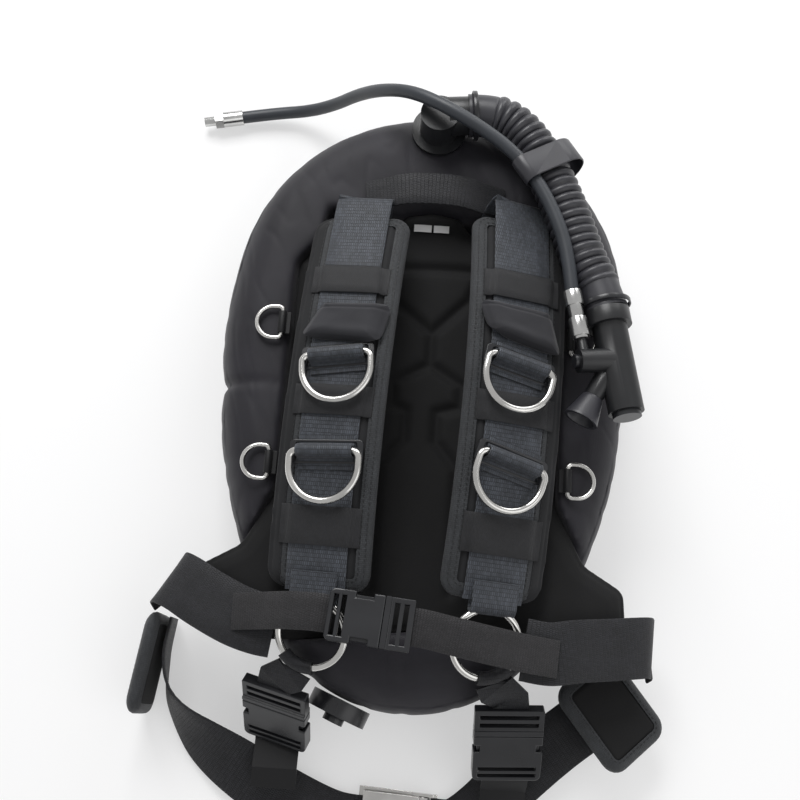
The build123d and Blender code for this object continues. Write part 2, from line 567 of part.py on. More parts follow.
# ---------------------------------------------------------------- inflator, elbow and hoses
ELBOW = (0.0, 232.0)
HOSE_Z = 117.5
hose_route = [(26, 238, 117.5), (46, 240, 117.5), (68, 233, 117.5), (89, 214, 119),
              (112, 184, 120.5), (131, 145, 121), (144, 100, 122.5), (153, 52, 126)]
lp_route = [(121, 64, 140), (117, 98, 141), (105, 133, 142), (88, 165, 142), (65, 192, 143),
            (34, 212, 147), (2, 230, 148), (-28, 249, 136), (-56, 265, 109), (-80, 278, 76),
            (-104, 286, 42), (-132, 291, 18), (-166, 291, 10), (-200, 284, 10)]
hose, hose_line = tube(hose_route, HOSE_OD, HOSE_WALL)
lp_hose, lp_line = tube(lp_route, LP_OD)
put("corrugated_hose", hose)
put("lp_hose", lp_hose)

SPIGOT_R = HOSE_OD / 2 - HOSE_WALL - RUN
elbow_mouth = Vector(*hose_route[0])
elbow_dir = (Vector(*hose_route[1]) - elbow_mouth).normalized()
seat_z = WING_T + CLEAR
upright = (Align.CENTER, Align.CENTER, Align.MIN)
elbow = Pos(*ELBOW, seat_z) * Cylinder(25, 4, align=upright)
elbow += Pos(*ELBOW, seat_z) * Cylinder(17.5, HOSE_Z + 13 - seat_z, align=upright)
spigot_start, spigot_end = elbow_mouth - elbow_dir * 18, elbow_mouth + elbow_dir * 9
elbow += rod(tuple(spigot_start), tuple(spigot_end), SPIGOT_R)
elbow -= rod(tuple(spigot_start), tuple(elbow_mouth + elbow_dir * 12), 12)
put("wing_elbow", elbow)

# hose ties at both cuffs, and the elastic retainer round both hoses
hose_stop = Vector(*hose_route[-1])
hose_end_dir = (hose_stop - Vector(*hose_route[-2])).normalized()
ties = []
for spot, way in ((elbow_mouth, elbow_dir), (hose_stop, hose_end_dir * -1)):
    ties.append(rod(tuple(spot + way * 4), tuple(spot + way * 8), HOSE_OD / 2 + 1.6, HOSE_OD / 2 + 0.05))
put("hose_ties", *ties)

# inflator: X across it, Y back up the hose, Z up
inflator_axis = hose_end_dir * -1
inflator = frame(tuple(hose_stop), inflator_axis.cross(Vector(0, 0, 1)).normalized(),
                 Vector(0, 0, 1) - inflator_axis * inflator_axis.Z)
BODY_R = 15.0
ARM_Y, ARM_X = -46.0, -20.0
FOOT = -92.0
body = rod((0, 8, 0), (0, -3, 0), SPIGOT_R - 0.2)
body += rod((0, -0.3, 0), (0, -14, 0), 19.5)
body += rod((0, -10, 0), (0, FOOT, 0), BODY_R)
BUTTON_R, CAP_R, BUTTON_TRAVEL = 5.5, 12.0, 3.0
RECESS = BUTTON_TRAVEL + 2.5            # depth of the well each button sinks into
arm_root, arm_stop = Vector(0, ARM_Y, 4), Vector(ARM_X - 14, ARM_Y, 12)
arm_way = (arm_stop - arm_root).normalized()
body += rod(tuple(arm_root), tuple(arm_stop), 10)
NIPPLE_R = 4.0
mouth_start = Vector(-25, -75, -1)
mouth_dir = Vector(-0.6, -0.8, -0.05).normalized()
body += rod(tuple(mouth_start - mouth_dir * 22), tuple(mouth_start), 8.5)
body = inflator * body
arm_end = (inflator * Pos(ARM_X - 8, ARM_Y, 12)).position
lp_start = Vector(*lp_route[0])
nipple_way = (lp_start - arm_end).normalized()
COUPLER_L, COUPLER_R = 44.0, 6.4
coupler_low = lp_start - nipple_way * COUPLER_L
body += rod(tuple(arm_end), tuple(coupler_low + nipple_way * 16), NIPPLE_R)
body -= inflator * rod(tuple(arm_stop - arm_way * RECESS), tuple(arm_stop + arm_way), BUTTON_R + RUN)
body -= inflator * rod((0, FOOT + RECESS, 0), (0, FOOT - 1, 0), CAP_R + RUN)
put("inflator_body", body)
joint_frames["inflator"] = inflator

# quick coupler of the low pressure hose, with its spring sleeve
HOSE_GAP = 0.8
coupler = rod(tuple(coupler_low), tuple(lp_start - nipple_way * HOSE_GAP), COUPLER_R)
coupler -= rod(tuple(coupler_low - nipple_way), tuple(coupler_low + nipple_way * 18), NIPPLE_R + RUN)
coupler += rod(tuple(lp_start - nipple_way * 14), tuple(lp_start - nipple_way * HOSE_GAP), 8.0)
put("lp_coupler", coupler)
SLEEVE_L, SLEEVE_TRAVEL = 17.0, 4.0
sleeve = rod(tuple(coupler_low + nipple_way * 2), tuple(coupler_low + nipple_way * (2 + SLEEVE_L)),
             7.9, COUPLER_R + RUN)
put("lp_coupler_sleeve", sleeve)
joint_frames["coupler_sleeve"] = frame(tuple(coupler_low), (0, 0, 1), nipple_way)

# the moving and separate pieces of the inflator
button = rod(tuple(arm_stop - arm_way * 2), tuple(arm_stop + arm_way * 4), BUTTON_R)
put("inflate_button", inflator * button)
cap = rod((0, FOOT + 2, 0), (0, FOOT - 4.5, 0), CAP_R)
put("deflate_button", inflator * cap)
joint_frames["inflate_button"] = inflator * frame(tuple(arm_stop), (0, 1, 0), arm_way)
joint_frames["deflate_button"] = inflator * Pos(0, FOOT, 0)
mouth_plane = Plane(origin=mouth_start + mouth_dir * 0.3, z_dir=mouth_dir)
cone = loft([mouth_plane * Circle(9), mouth_plane.offset(22) * Circle(15)])
cone -= loft([mouth_plane.offset(3) * Circle(6), mouth_plane.offset(22.5) * Circle(12.5)])
put("mouthpiece", inflator * cone)

# free end of the low pressure hose: ferrule, hexagon and 3/8-24 thread
lp_stop = Vector(*lp_route[-1])
lp_out = (lp_stop - Vector(*lp_route[-2])).normalized()
THREAD_R, THREAD_L = 4.7625, 11.0
fitting = rod(tuple(lp_stop + lp_out * 0.05), tuple(lp_stop + lp_out * 20), 7.5)
hexagon = Plane(origin=lp_stop + lp_out * 20, z_dir=lp_out) * RegularPolygon(8.8, 6)
fitting += extrude(hexagon, amount=8)
fitting += rod(tuple(lp_stop + lp_out * 28), tuple(lp_stop + lp_out * (28 + THREAD_L)), THREAD_R)
put("lp_hose_fitting", fitting)
joint_frames["lp_thread"] = frame(tuple(lp_stop + lp_out * (28 + THREAD_L / 2)), (0, 0, 1), lp_out)

# elastic retainer round both hoses
near = 0.40
ring_c = hose_line @ near
ring_d = hose_line % near
lp_near = lp_line @ 0.27
gap = lp_near - ring_c
gap = gap - ring_d * gap.dot(ring_d)
retainer_plane = Plane(origin=ring_c, x_dir=gap, z_dir=ring_d)
HUG = 0.8
outer = make_hull((Circle(HOSE_OD / 2 + HUG + 1.6).edges()
                   + (Pos(gap.length, 0) * Circle(LP_OD / 2 + HUG + 1.6)).edges()))
inner = make_hull((Circle(HOSE_OD / 2 + HUG).edges()
                   + (Pos(gap.length, 0) * Circle(LP_OD / 2 + HUG)).edges()))
put("hose_retainer", extrude(retainer_plane * (outer - inner), amount=12, both=True))

# dump valve on the foot rim of the wing, with its pull knob
VALVE_R, VALVE_T = 26.0, 14.0
valve_angle = radians(-112.0)
valve_out = Vector(cos(valve_angle), sin(valve_angle), 0)
valve_seat = Vector(0, FOOT_Y, WING_T / 2) + valve_out * (FOOT_R + 0.9)
valve = rod(tuple(valve_seat), tuple(valve_seat + valve_out * VALVE_T), VALVE_R)
KNOB_R, KNOB_TRAVEL, KNOB_STEM = 9.0, 8.0, 3.0
valve -= rod(tuple(valve_seat + valve_out * 4), tuple(valve_seat + valve_out * (VALVE_T + 1)),
             KNOB_STEM + RUN)
knob = rod(tuple(valve_seat + valve_out * 4.3), tuple(valve_seat + valve_out * (VALVE_T + 4)), KNOB_STEM)
knob += rod(tuple(valve_seat + valve_out * (VALVE_T + 0.3)),
            tuple(valve_seat + valve_out * (VALVE_T + 6)), KNOB_R)
put("dump_valve", valve)
put("dump_knob", knob)
joint_frames["dump_knob"] = frame(tuple(valve_seat), (0, 0, 1), valve_out)

# ---------------------------------------------------------------- one origin for all, and the files
CORDS = ("corrugated_hose", "lp_hose", "lp_hose_fitting")
boxes = [s.bounding_box() for name, solids in parts.items() if name not in CORDS for s in solids]
mid_x = (min(b.min.X for b in boxes) + max(b.max.X for b in boxes)) / 2
mid_y = (min(b.min.Y for b in boxes) + max(b.max.Y for b in boxes)) / 2
to_origin = Pos(-mid_x, -mid_y, -min(b.min.Z for b in boxes))
print("origin moved by", to_origin.position)
os.makedirs("parts", exist_ok=True)
for name, solids in parts.items():
    moved = [to_origin * s for s in solids]
    export_step(moved[0] if len(moved) == 1 else Compound(children=moved), f"parts/{name}.step")
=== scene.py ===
import bpy
import bmesh
import random
from math import atan2, cos, exp, hypot, pi, radians, sin
from mathutils import Matrix, Vector, kdtree, noise


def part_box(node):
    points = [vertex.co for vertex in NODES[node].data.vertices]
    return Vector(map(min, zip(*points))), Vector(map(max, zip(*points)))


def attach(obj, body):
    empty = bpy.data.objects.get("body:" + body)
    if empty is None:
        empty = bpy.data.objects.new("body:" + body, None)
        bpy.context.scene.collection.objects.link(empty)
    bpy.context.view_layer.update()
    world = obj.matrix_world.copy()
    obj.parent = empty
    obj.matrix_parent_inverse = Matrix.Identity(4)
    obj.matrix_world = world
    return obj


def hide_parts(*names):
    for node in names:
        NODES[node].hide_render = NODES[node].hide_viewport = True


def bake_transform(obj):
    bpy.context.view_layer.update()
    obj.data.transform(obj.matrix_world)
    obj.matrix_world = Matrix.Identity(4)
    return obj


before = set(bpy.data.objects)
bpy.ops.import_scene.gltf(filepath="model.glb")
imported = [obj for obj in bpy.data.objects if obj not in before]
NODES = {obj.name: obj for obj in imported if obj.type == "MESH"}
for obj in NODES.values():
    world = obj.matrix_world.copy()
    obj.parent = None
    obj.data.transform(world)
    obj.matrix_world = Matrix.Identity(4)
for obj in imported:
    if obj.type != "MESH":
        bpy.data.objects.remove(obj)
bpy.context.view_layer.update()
chance = random.Random(11)

# Places are written in millimetres from the middle of the harness plate, as the solids were drawn.
MM = 0.001
plate_low, plate_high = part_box("backplate")
PLATE_MID_Y = -48.0
ORIGIN = Vector(((plate_low[0] + plate_high[0]) / 2,
                 (plate_low[1] + plate_high[1]) / 2 - PLATE_MID_Y * MM, 0))
WEB, WEB_T = 50.0, 2.5


def spot(x, y, z):
    """A place in millimetres as a point of the frame, in metres."""
    return ORIGIN + Vector((x, y, z)) * MM


def drawn(point):
    """The other way round: a point of the frame in drawing millimetres."""
    return (Vector(point) - ORIGIN) / MM


# ---------------------------------------------------------------- camera, lights, floor
EYE, AIM = (-1.3, -294.3, 1022.8), (-20.75, -1.66, 0.0)
eye, aim = spot(*EYE), spot(*AIM)
bpy.ops.object.camera_add(location=eye)
camera = bpy.context.object
camera.rotation_euler = (aim - eye).to_track_quat("-Z", "Y").to_euler()
camera.data.lens = 50.1
camera.data.sensor_width = 36
camera.data.clip_start = 0.01
bpy.context.scene.camera = camera
bpy.context.scene.view_settings.view_transform = "Standard"


def soft_light(name, place, size, watts):
    bpy.ops.object.light_add(type="AREA", location=place)
    lamp = bpy.context.object
    lamp.name = name
    lamp.rotation_euler = (spot(0, -30, 60) - lamp.location).to_track_quat("-Z", "Y").to_euler()
    lamp.data.size = size
    lamp.data.energy = watts
    return lamp


soft_light("key_light", Vector((-0.5, 1.7, 1.7)), 1.2, 40)
soft_light("fill_light", Vector((1.5, -0.9, 1.6)), 1.8, 9)
soft_light("back_light", Vector((0.9, 1.8, 0.8)), 1.0, 10)


def nodes_of(name):
    mat = bpy.data.materials.new(name)
    mat.use_nodes = True
    tree = mat.node_tree
    return mat, tree, tree.nodes["Principled BSDF"]


def add_node(tree, kind, **values):
    node = tree.nodes.new(kind)
    for key, value in values.items():
        if hasattr(node, key):
            setattr(node, key, value)
        else:
            node.inputs[key.replace("_", " ")].default_value = value
    return node


def floor_finish():
    mat, tree, shader = nodes_of("studio_floor")
    shader.inputs["Base Color"].default_value = (0.90, 0.90, 0.905, 1)
    shader.inputs["Roughness"].default_value = 0.9
    seen = tree.nodes.new("ShaderNodeLightPath")
    bright = add_node(tree, "ShaderNodeEmission", Strength=1.0)
    both = tree.nodes.new("ShaderNodeMixShader")
    share = add_node(tree, "ShaderNodeMath", operation="MULTIPLY")
    share.inputs[1].default_value = 0.45
    rays = seen.outputs["Is Camera Ray"]
    for kind in ("Is Glossy Ray", "Is Transmission Ray"):
        either = add_node(tree, "ShaderNodeMath", operation="MAXIMUM")
        tree.links.new(rays, either.inputs[0])
        tree.links.new(seen.outputs[kind], either.inputs[1])
        rays = either.outputs["Value"]
    tree.links.new(rays, share.inputs[0])
    tree.links.new(share.outputs["Value"], both.inputs["Fac"])
    tree.links.new(shader.outputs["BSDF"], both.inputs[1])
    tree.links.new(bright.outputs["Emission"], both.inputs[2])
    tree.links.new(both.outputs["Shader"], tree.nodes["Material Output"].inputs["Surface"])
    return mat


bpy.ops.object.select_all(action="DESELECT")
bpy.ops.mesh.primitive_plane_add(size=14, location=(0, 0, -0.0004))
floor = bpy.context.object
floor.name = "studio_floor"
floor.data.materials.append(floor_finish())

world = bpy.data.worlds.new("studio_world")
bpy.context.scene.world = world
world.use_nodes = True
world.node_tree.nodes["Background"].inputs["Color"].default_value = (1, 1, 1, 1)
world.node_tree.nodes["Background"].inputs["Strength"].default_value = 0.55


# ---------------------------------------------------------------- finishes
def ramp_between(tree, low, high, dark, light):
    ramp = tree.nodes.new("ShaderNodeValToRGB")
    ramp.color_ramp.elements[0].position = low
    ramp.color_ramp.elements[1].position = high
    ramp.color_ramp.elements[0].color = (*dark, 1)
    ramp.color_ramp.elements[1].color = (*light, 1)
    return ramp


def bump_into(tree, shader, height, distance, strength=1.0, under=None):
    bump = add_node(tree, "ShaderNodeBump", Distance=distance, Strength=strength)
    tree.links.new(height, bump.inputs["Height"])
    if under:
        tree.links.new(under.outputs["Normal"], bump.inputs["Normal"])
    tree.links.new(bump.outputs["Normal"], shader.inputs["Normal"])
    return bump


def cloth_finish(name, dark, light, rough, weave_mm, grain=0.00012, sheen=0.15, patch_mm=60.0):
    """Plain woven nylon: fine threads both ways, with slow changes of tone."""
    mat, tree, shader = nodes_of(name)
    place = tree.nodes.new("ShaderNodeTexCoord").outputs["Object"]
    patch = add_node(tree, "ShaderNodeTexNoise", Scale=1000 / patch_mm, Detail=4.0, Roughness=0.6)
    tree.links.new(place, patch.inputs["Vector"])
    ramp = ramp_between(tree, 0.3, 0.72, dark, light)
    tree.links.new(patch.outputs["Fac"], ramp.inputs["Fac"])
    tree.links.new(ramp.outputs["Color"], shader.inputs["Base Color"])
    threads = add_node(tree, "ShaderNodeTexVoronoi", Scale=1000 / weave_mm, Randomness=0.35)
    tree.links.new(place, threads.inputs["Vector"])
    bump_into(tree, shader, threads.outputs["Distance"], grain, 0.7)
    shader.inputs["Roughness"].default_value = rough
    shader.inputs["Sheen Weight"].default_value = sheen
    shader.inputs["Sheen Roughness"].default_value = 0.5
    shader.inputs["Specular IOR Level"].default_value = 0.3
    return mat


def web_finish(name, dark, light, rib_mm=1.7, brick_mm=3.4, rough=0.55, depth=0.00035, sheen=0.2):
    """Ribbed webbing on the piece's own map, which is in metres along and across it."""
    mat, tree, shader = nodes_of(name)
    flat = tree.nodes.new("ShaderNodeUVMap").outputs["UV"]
    weave = add_node(tree, "ShaderNodeTexBrick", Scale=1.0)
    weave.inputs["Brick Width"].default_value = rib_mm * MM
    weave.inputs["Row Height"].default_value = brick_mm * MM
    weave.inputs["Mortar Size"].default_value = 0.28 * MM
    weave.inputs["Mortar Smooth"].default_value = 0.9
    weave.inputs["Color1"].default_value = (*light, 1)
    weave.inputs["Color2"].default_value = (*[0.5 * (a + b) for a, b in zip(dark, light)], 1)
    weave.inputs["Mortar"].default_value = (*dark, 1)
    turned = add_node(tree, "ShaderNodeMapping")
    turned.inputs["Rotation"].default_value = (0, 0, pi / 2)
    tree.links.new(flat, turned.inputs["Vector"])
    tree.links.new(turned.outputs["Vector"], weave.inputs["Vector"])
    wear = add_node(tree, "ShaderNodeTexNoise", Scale=55.0, Detail=5.0)
    tree.links.new(flat, wear.inputs["Vector"])
    tone = ramp_between(tree, 0.25, 0.8, (0.72, 0.72, 0.72), (1.2, 1.2, 1.2))
    tree.links.new(wear.outputs["Fac"], tone.inputs["Fac"])
    mix = tree.nodes.new("ShaderNodeMix")
    mix.data_type, mix.blend_type = "RGBA", "MULTIPLY"
    mix.inputs["Factor"].default_value = 1.0
    tree.links.new(weave.outputs["Color"], mix.inputs["A"])
    tree.links.new(tone.outputs["Color"], mix.inputs["B"])
    tree.links.new(mix.outputs["Result"], shader.inputs["Base Color"])
    bump_into(tree, shader, weave.outputs["Fac"], -depth)
    shader.inputs["Roughness"].default_value = rough
    shader.inputs["Sheen Weight"].default_value = sheen
    shader.inputs["Specular IOR Level"].default_value = 0.35
    return mat


def hard_finish(name, color, rough, metallic=0.0, grain_mm=1.2, grain=0.00004, rough_spread=0.08, coat=0.0):
    """Metal or moulded plastic: fine grain, and a roughness that changes a little over the piece."""
    mat, tree, shader = nodes_of(name)
    place = tree.nodes.new("ShaderNodeTexCoord").outputs["Object"]
    fine = add_node(tree, "ShaderNodeTexNoise", Scale=1000 / grain_mm, Detail=3.0)
    slow = add_node(tree, "ShaderNodeTexNoise", Scale=45.0, Detail=4.0)
    tree.links.new(place, fine.inputs["Vector"])
    tree.links.new(place, slow.inputs["Vector"])
    spread = add_node(tree, "ShaderNodeMapRange")
    spread.inputs["To Min"].default_value = rough - rough_spread
    spread.inputs["To Max"].default_value = rough + rough_spread
    tree.links.new(slow.outputs["Fac"], spread.inputs["Value"])
    tree.links.new(spread.outputs["Result"], shader.inputs["Roughness"])
    tone = ramp_between(tree, 0.3, 0.75, [c * 0.85 for c in color], [min(1, c * 1.12) for c in color])
    tree.links.new(slow.outputs["Fac"], tone.inputs["Fac"])
    tree.links.new(tone.outputs["Color"], shader.inputs["Base Color"])
    bump_into(tree, shader, fine.outputs["Fac"], grain, 0.6)
    shader.inputs["Metallic"].default_value = metallic
    shader.inputs["Coat Weight"].default_value = coat
    return mat


WING_CLOTH = cloth_finish("coated_wing_nylon", (0.0095, 0.0088, 0.0125), (0.0170, 0.0158, 0.0215), 0.6, 0.9,
    sheen=0.12)
PAD_CLOTH = cloth_finish("pad_nylon", (0.0028, 0.0028, 0.0031), (0.0052, 0.0052, 0.0058), 0.8, 1.1, sheen=0.05)
STRAP_CLOTH = cloth_finish("strap_pad_nylon", (0.0070, 0.0072, 0.0082), (0.0125, 0.0128, 0.0145), 0.78, 1.1,
    sheen=0.08)
FLAP_CLOTH = cloth_finish("flap_nylon", (0.0150, 0.0150, 0.0180), (0.0260, 0.0262, 0.0310), 0.75, 0.9, sheen=0.12)
HARNESS_WEB = web_finish("harness_webbing", (0.0085, 0.0096, 0.0120), (0.066, 0.074, 0.090), sheen=0.1)
BELT_WEB = web_finish("belt_webbing", (0.0035, 0.0035, 0.0045), (0.0165, 0.0170, 0.0210), sheen=0.05)
CHEST_WEB = web_finish("chest_webbing", (0.0055, 0.0052, 0.0060), (0.0270, 0.0255, 0.0285), rib_mm=1.3,
    brick_mm=2.2, sheen=0.08)
LOOP_WEB = web_finish("elastic_loops", (0.0065, 0.0066, 0.0075), (0.0230, 0.0235, 0.0270), rib_mm=2.2,
    brick_mm=0.9, depth=0.0002, sheen=0.06)
BINDING = web_finish("edge_binding", (0.0130, 0.0142, 0.0160), (0.0520, 0.0560, 0.0620), rib_mm=0.9,
    brick_mm=1.6, depth=0.0002, sheen=0.08)
THREAD = hard_finish("dark_thread", (0.004, 0.004, 0.005), 0.6, grain_mm=0.4)
STEEL = hard_finish("polished_steel", (0.66, 0.65, 0.63), 0.2, 1.0, grain_mm=0.8, grain=0.00002)
PLASTIC = hard_finish("black_acetal", (0.016, 0.0165, 0.019), 0.30, grain_mm=0.5, grain=0.00003)
SOFT_PLASTIC = hard_finish("inflator_plastic", (0.012, 0.0125, 0.014), 0.38, grain_mm=0.7)
RUBBER = hard_finish("hose_rubber", (0.030, 0.030, 0.036), 0.40, grain_mm=0.6, grain=0.00003)
HOSE_COVER = hard_finish("thin_hose_cover", (0.026, 0.030, 0.037), 0.45, grain_mm=0.9, grain=0.00006)
CHROME = hard_finish("satin_chrome", (0.62, 0.62, 0.61), 0.22, 1.0, grain_mm=0.7, grain=0.00002)
ALUMINIUM = hard_finish("dark_aluminium", (0.10, 0.10, 0.105), 0.4, 0.9)
LABEL = cloth_finish("blank_label_cloth", (0.62, 0.62, 0.62), (0.74, 0.74, 0.74), 0.7, 0.6)


# ---------------------------------------------------------------- shared modelling
def only(obj):
    bpy.ops.object.select_all(action="DESELECT")
    obj.select_set(True)
    bpy.context.view_layer.objects.active = obj


def done(obj, name, finish, body="pack", stands_for=()):
    """Names a finished piece, gives it its finish, and ties it to its body."""
    obj.name = obj.data.name = name
    obj.data.materials.clear()
    obj.data.materials.append(finish)
    if stands_for:
        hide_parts(*stands_for)
    if body:
        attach(obj, body)
    return obj


def apply_mod(obj, kind, **values):
    only(obj)
    mod = obj.modifiers.new(kind.lower(), kind)
    for key, value in values.items():
        setattr(mod, key, value)
    bpy.ops.object.modifier_apply(modifier=mod.name)


def smooth_faces(obj, angle=40):
    only(obj)
    bpy.ops.object.shade_smooth_by_angle(angle=radians(angle))


def tidy(obj, gap=0.00001):
    """Merges doubles, closes holes, and turns the faces outwards."""
    only(obj)
    bpy.ops.object.mode_set(mode="EDIT")
    bpy.ops.mesh.select_all(action="SELECT")
    bpy.ops.mesh.remove_doubles(threshold=gap)
    bpy.ops.mesh.fill_holes(sides=0)
    bpy.ops.mesh.select_all(action="SELECT")
    bpy.ops.mesh.normals_make_consistent(inside=False)
    bpy.ops.object.mode_set(mode="OBJECT")


def sheet_of(rows, columns, place, uv=None):
    """A grid whose points are put at place(u, v), u and v from 0 to 1."""
    bpy.ops.object.select_all(action="DESELECT")
    bpy.ops.mesh.primitive_grid_add(x_subdivisions=rows, y_subdivisions=columns, size=1, location=(0, 0, 0))
    obj = bpy.context.object
    mesh = obj.data
    if uv:
        layer = mesh.uv_layers[0].data
        for loop in mesh.loops:
            co = mesh.vertices[loop.vertex_index].co
            layer[loop.index].uv = uv(co.x + 0.5, co.y + 0.5)
    for vertex in mesh.vertices:
        vertex.co = place(vertex.co.x + 0.5, vertex.co.y + 0.5)
    return obj


def curve_through(points, steps=8):
    """Points along a smooth line through all the given ones."""
    points = [Vector(p) for p in points]
    ends = [points[0] * 2 - points[1]] + points + [points[-1] * 2 - points[-2]]
    line = []
    for a, b, c, d in zip(ends, ends[1:], ends[2:], ends[3:]):
        for i in range(steps):
            t = i / steps
            line.append(0.5 * ((2 * b) + (c - a) * t + (2 * a - 5 * b + 4 * c - d) * t * t
                               + (3 * b - a - 3 * c + d) * t**3))
    line.append(points[-1])
    return line


def measured(line):
    """Running length at each point of a line."""
    run = [0.0]
    for a, b in zip(line, line[1:]):
        run.append(run[-1] + (b - a).length)
    return run


def along(line, run, distance):
    """Point and direction at a distance along a line."""
    distance = min(max(distance, 0.0), run[-1])
    for i in range(len(run) - 1):
        if run[i + 1] >= distance:
            break
    span = run[i + 1] - run[i]
    t = (distance - run[i]) / span if span > 0 else 0.0
    before = line[max(i - 1, 0)]
    after = line[min(i + 2, len(line) - 1)]
    return line[i].lerp(line[i + 1], t), (after - before).normalized()


def strap(name, route, width, finish, body="pack", across=(1, 0, 0), thick=WEB_T,
          stands_for=(), steps=8, at=spot, close_ends=True):
    """Flat webbing laid smoothly through its route, mapped in metres for the weave."""
    if not isinstance(across, list):
        across = [across] * len(route)
    line = curve_through([at(*p) for p in route], steps)
    sides = curve_through([Vector(a) for a in across], steps)
    run = measured(line)
    total = run[-1]
    rows = max(8, int(total / (3.0 * MM)))
    section = []
    half, up, soft = width * MM / 2, thick * MM / 2, thick * MM * 0.45
    for x, z in ((-half, -up * 0.45), (-half + soft, -up), (-half * 0.4, -up), (half * 0.4, -up), (half - soft, -up),
                 (half, -up * 0.45), (half, up * 0.45), (half - soft, up), (half * 0.4, up), (-half * 0.4, up),
                 (-half + soft, up), (-half, up * 0.45)):
        section.append((x, z))
    section.append(section[0])
    columns = len(section) - 1

    def frame_at(u):
        point, ahead = along(line, run, u * total)
        index = u * (len(sides) - 1)
        side = sides[int(index)].lerp(sides[min(int(index) + 1, len(sides) - 1)], index % 1)
        side = (side - ahead * side.dot(ahead)).normalized()
        return point, side, ahead.cross(side) * -1

    cache = {}

    def place(u, v):
        key = round(u * rows)
        if key not in cache:
            cache[key] = frame_at(key / rows)
        point, side, normal = cache[key]
        x, z = section[round(v * columns)]
        return point + side * x + normal * z

    def uv(u, v):
        x, z = section[round(v * columns)]
        return (u * total, x + half)

    obj = sheet_of(rows, columns, place, uv)
    if close_ends:
        tidy(obj)
    smooth_faces(obj, 50)
    return done(obj, name, finish, body, stands_for)


def swept(line, radius, sides=16, rows=None, squash=1.0, up=Vector((0, 0, 1))):
    """A round skin along a line; radius is a number or a function of the distance along it."""
    run = measured(line)
    total = run[-1]
    rows = rows or max(12, int(total / (2.0 * MM)))
    frames = []
    side = None
    for i in range(rows + 1):
        point, ahead = along(line, run, total * i / rows)
        if side is None:
            side = ahead.cross(up).normalized()
            if side.length < 0.5:
                side = ahead.orthogonal().normalized()
        side = (side - ahead * side.dot(ahead)).normalized()
        frames.append((point, side, side.cross(ahead), total * i / rows))

    def place(u, v):
        point, side, normal, s = frames[round(u * rows)]
        r = radius(s) if callable(radius) else radius
        angle = 2 * pi * v
        return point + side * (r * cos(angle)) + normal * (r * squash * sin(angle))

    obj = sheet_of(rows, sides, place, lambda u, v: (u * total, v * 2 * pi * 0.01))
    tidy(obj)
    return obj


def keep_node(node, finish, bevel=0.0, angle=35):
    """A solid whose shape is right keeps it, with its finish and softened edges."""
    obj = NODES[node]
    obj.data.materials.clear()
    obj.data.materials.append(finish)
    weld = obj.modifiers.new("weld", "WELD")
    weld.merge_threshold = 0.00002
    if bevel:
        mod = obj.modifiers.new("bevel", "BEVEL")
        mod.width = bevel * MM
        mod.segments = 2
        mod.limit_method = "ANGLE"
        mod.angle_limit = radians(angle)
        mod.harden_normals = False
    return obj


def copy_of(node):
    """A merged copy of a solid's mesh, to be worked into a soft piece."""
    obj = NODES[node].copy()
    obj.data = NODES[node].data.copy()
    obj.parent = None
    obj.matrix_world = Matrix()
    for key in list(obj.keys()):
        del obj[key]
    bpy.context.scene.collection.objects.link(obj)
    obj.hide_render = obj.hide_viewport = False
    only(obj)
    bpy.ops.object.mode_set(mode="EDIT")
    bpy.ops.mesh.select_all(action="SELECT")
    bpy.ops.mesh.remove_doubles(threshold=0.00002)
    bpy.ops.object.mode_set(mode="OBJECT")
    return obj


# ---------------------------------------------------------------- hoses
HOSE_OD, HOSE_LENGTH = 41.0, 247.7
HOSE_ROUTE = [(26, 238, 117.5), (46, 240, 117.5), (68, 231, 117.5), (87, 209, 118.5), (103, 179, 120),
              (119, 141, 121), (133, 99, 122.5), (146, 74, 124.5), (153, 52, 126)]
LP_OD, LP_LENGTH = 12.0, 485.9
LP_ROUTE = [(121, 64, 140), (117, 98, 141), (105, 133, 142), (88, 165, 142), (65, 192, 143),
            (34, 212, 147), (2, 230, 148), (-28, 249, 136), (-56, 265, 109), (-80, 278, 76),
            (-104, 286, 42), (-132, 291, 18), (-166, 291, 10), (-200, 284, 10)]


def route_curve(name, route, bevel=0.0):
    bpy.ops.object.select_all(action="DESELECT")
    data = bpy.data.curves.new(name, "CURVE")
    data.dimensions = "3D"
    data.resolution_u = 24
    data.bevel_depth = bevel
    data.bevel_resolution = 5
    data.use_fill_caps = True
    spline = data.splines.new("NURBS")
    spline.points.add(len(route) - 1)
    for point, place in zip(spline.points, route):
        point.co = (*spot(*place), 1)
    spline.order_u = 3
    spline.use_endpoint_u = True
    obj = bpy.data.objects.new(name, data)
    bpy.context.scene.collection.objects.link(obj)
    return obj


def route_line(route):
    """The route's smooth line as points."""
    guide = route_curve("guide", route)
    mesh = bpy.data.meshes.new_from_object(guide)
    line = [v.co.copy() for v in mesh.vertices]
    bpy.data.objects.remove(guide)
    bpy.data.meshes.remove(mesh)
    return line


RIB_PITCH, RIB_DEEP, CUFF = 8.2, 3.6, 24.0
hose_line = route_line(HOSE_ROUTE)
hose_total = measured(hose_line)[-1]


def hose_radius(s):
    """Plain cuffs at both ends, and rounded ribs between them."""
    outer = HOSE_OD / 2 * MM
    edge = min(s, hose_total - s)
    if edge < CUFF * MM:
        lip = 0.4 * MM if edge < 3 * MM else 0.0
        return outer - 1.6 * MM + lip
    rib = abs(sin(pi * (s - CUFF * MM) / (RIB_PITCH * MM)))
    return outer - RIB_DEEP * MM * (1 - rib**0.55)


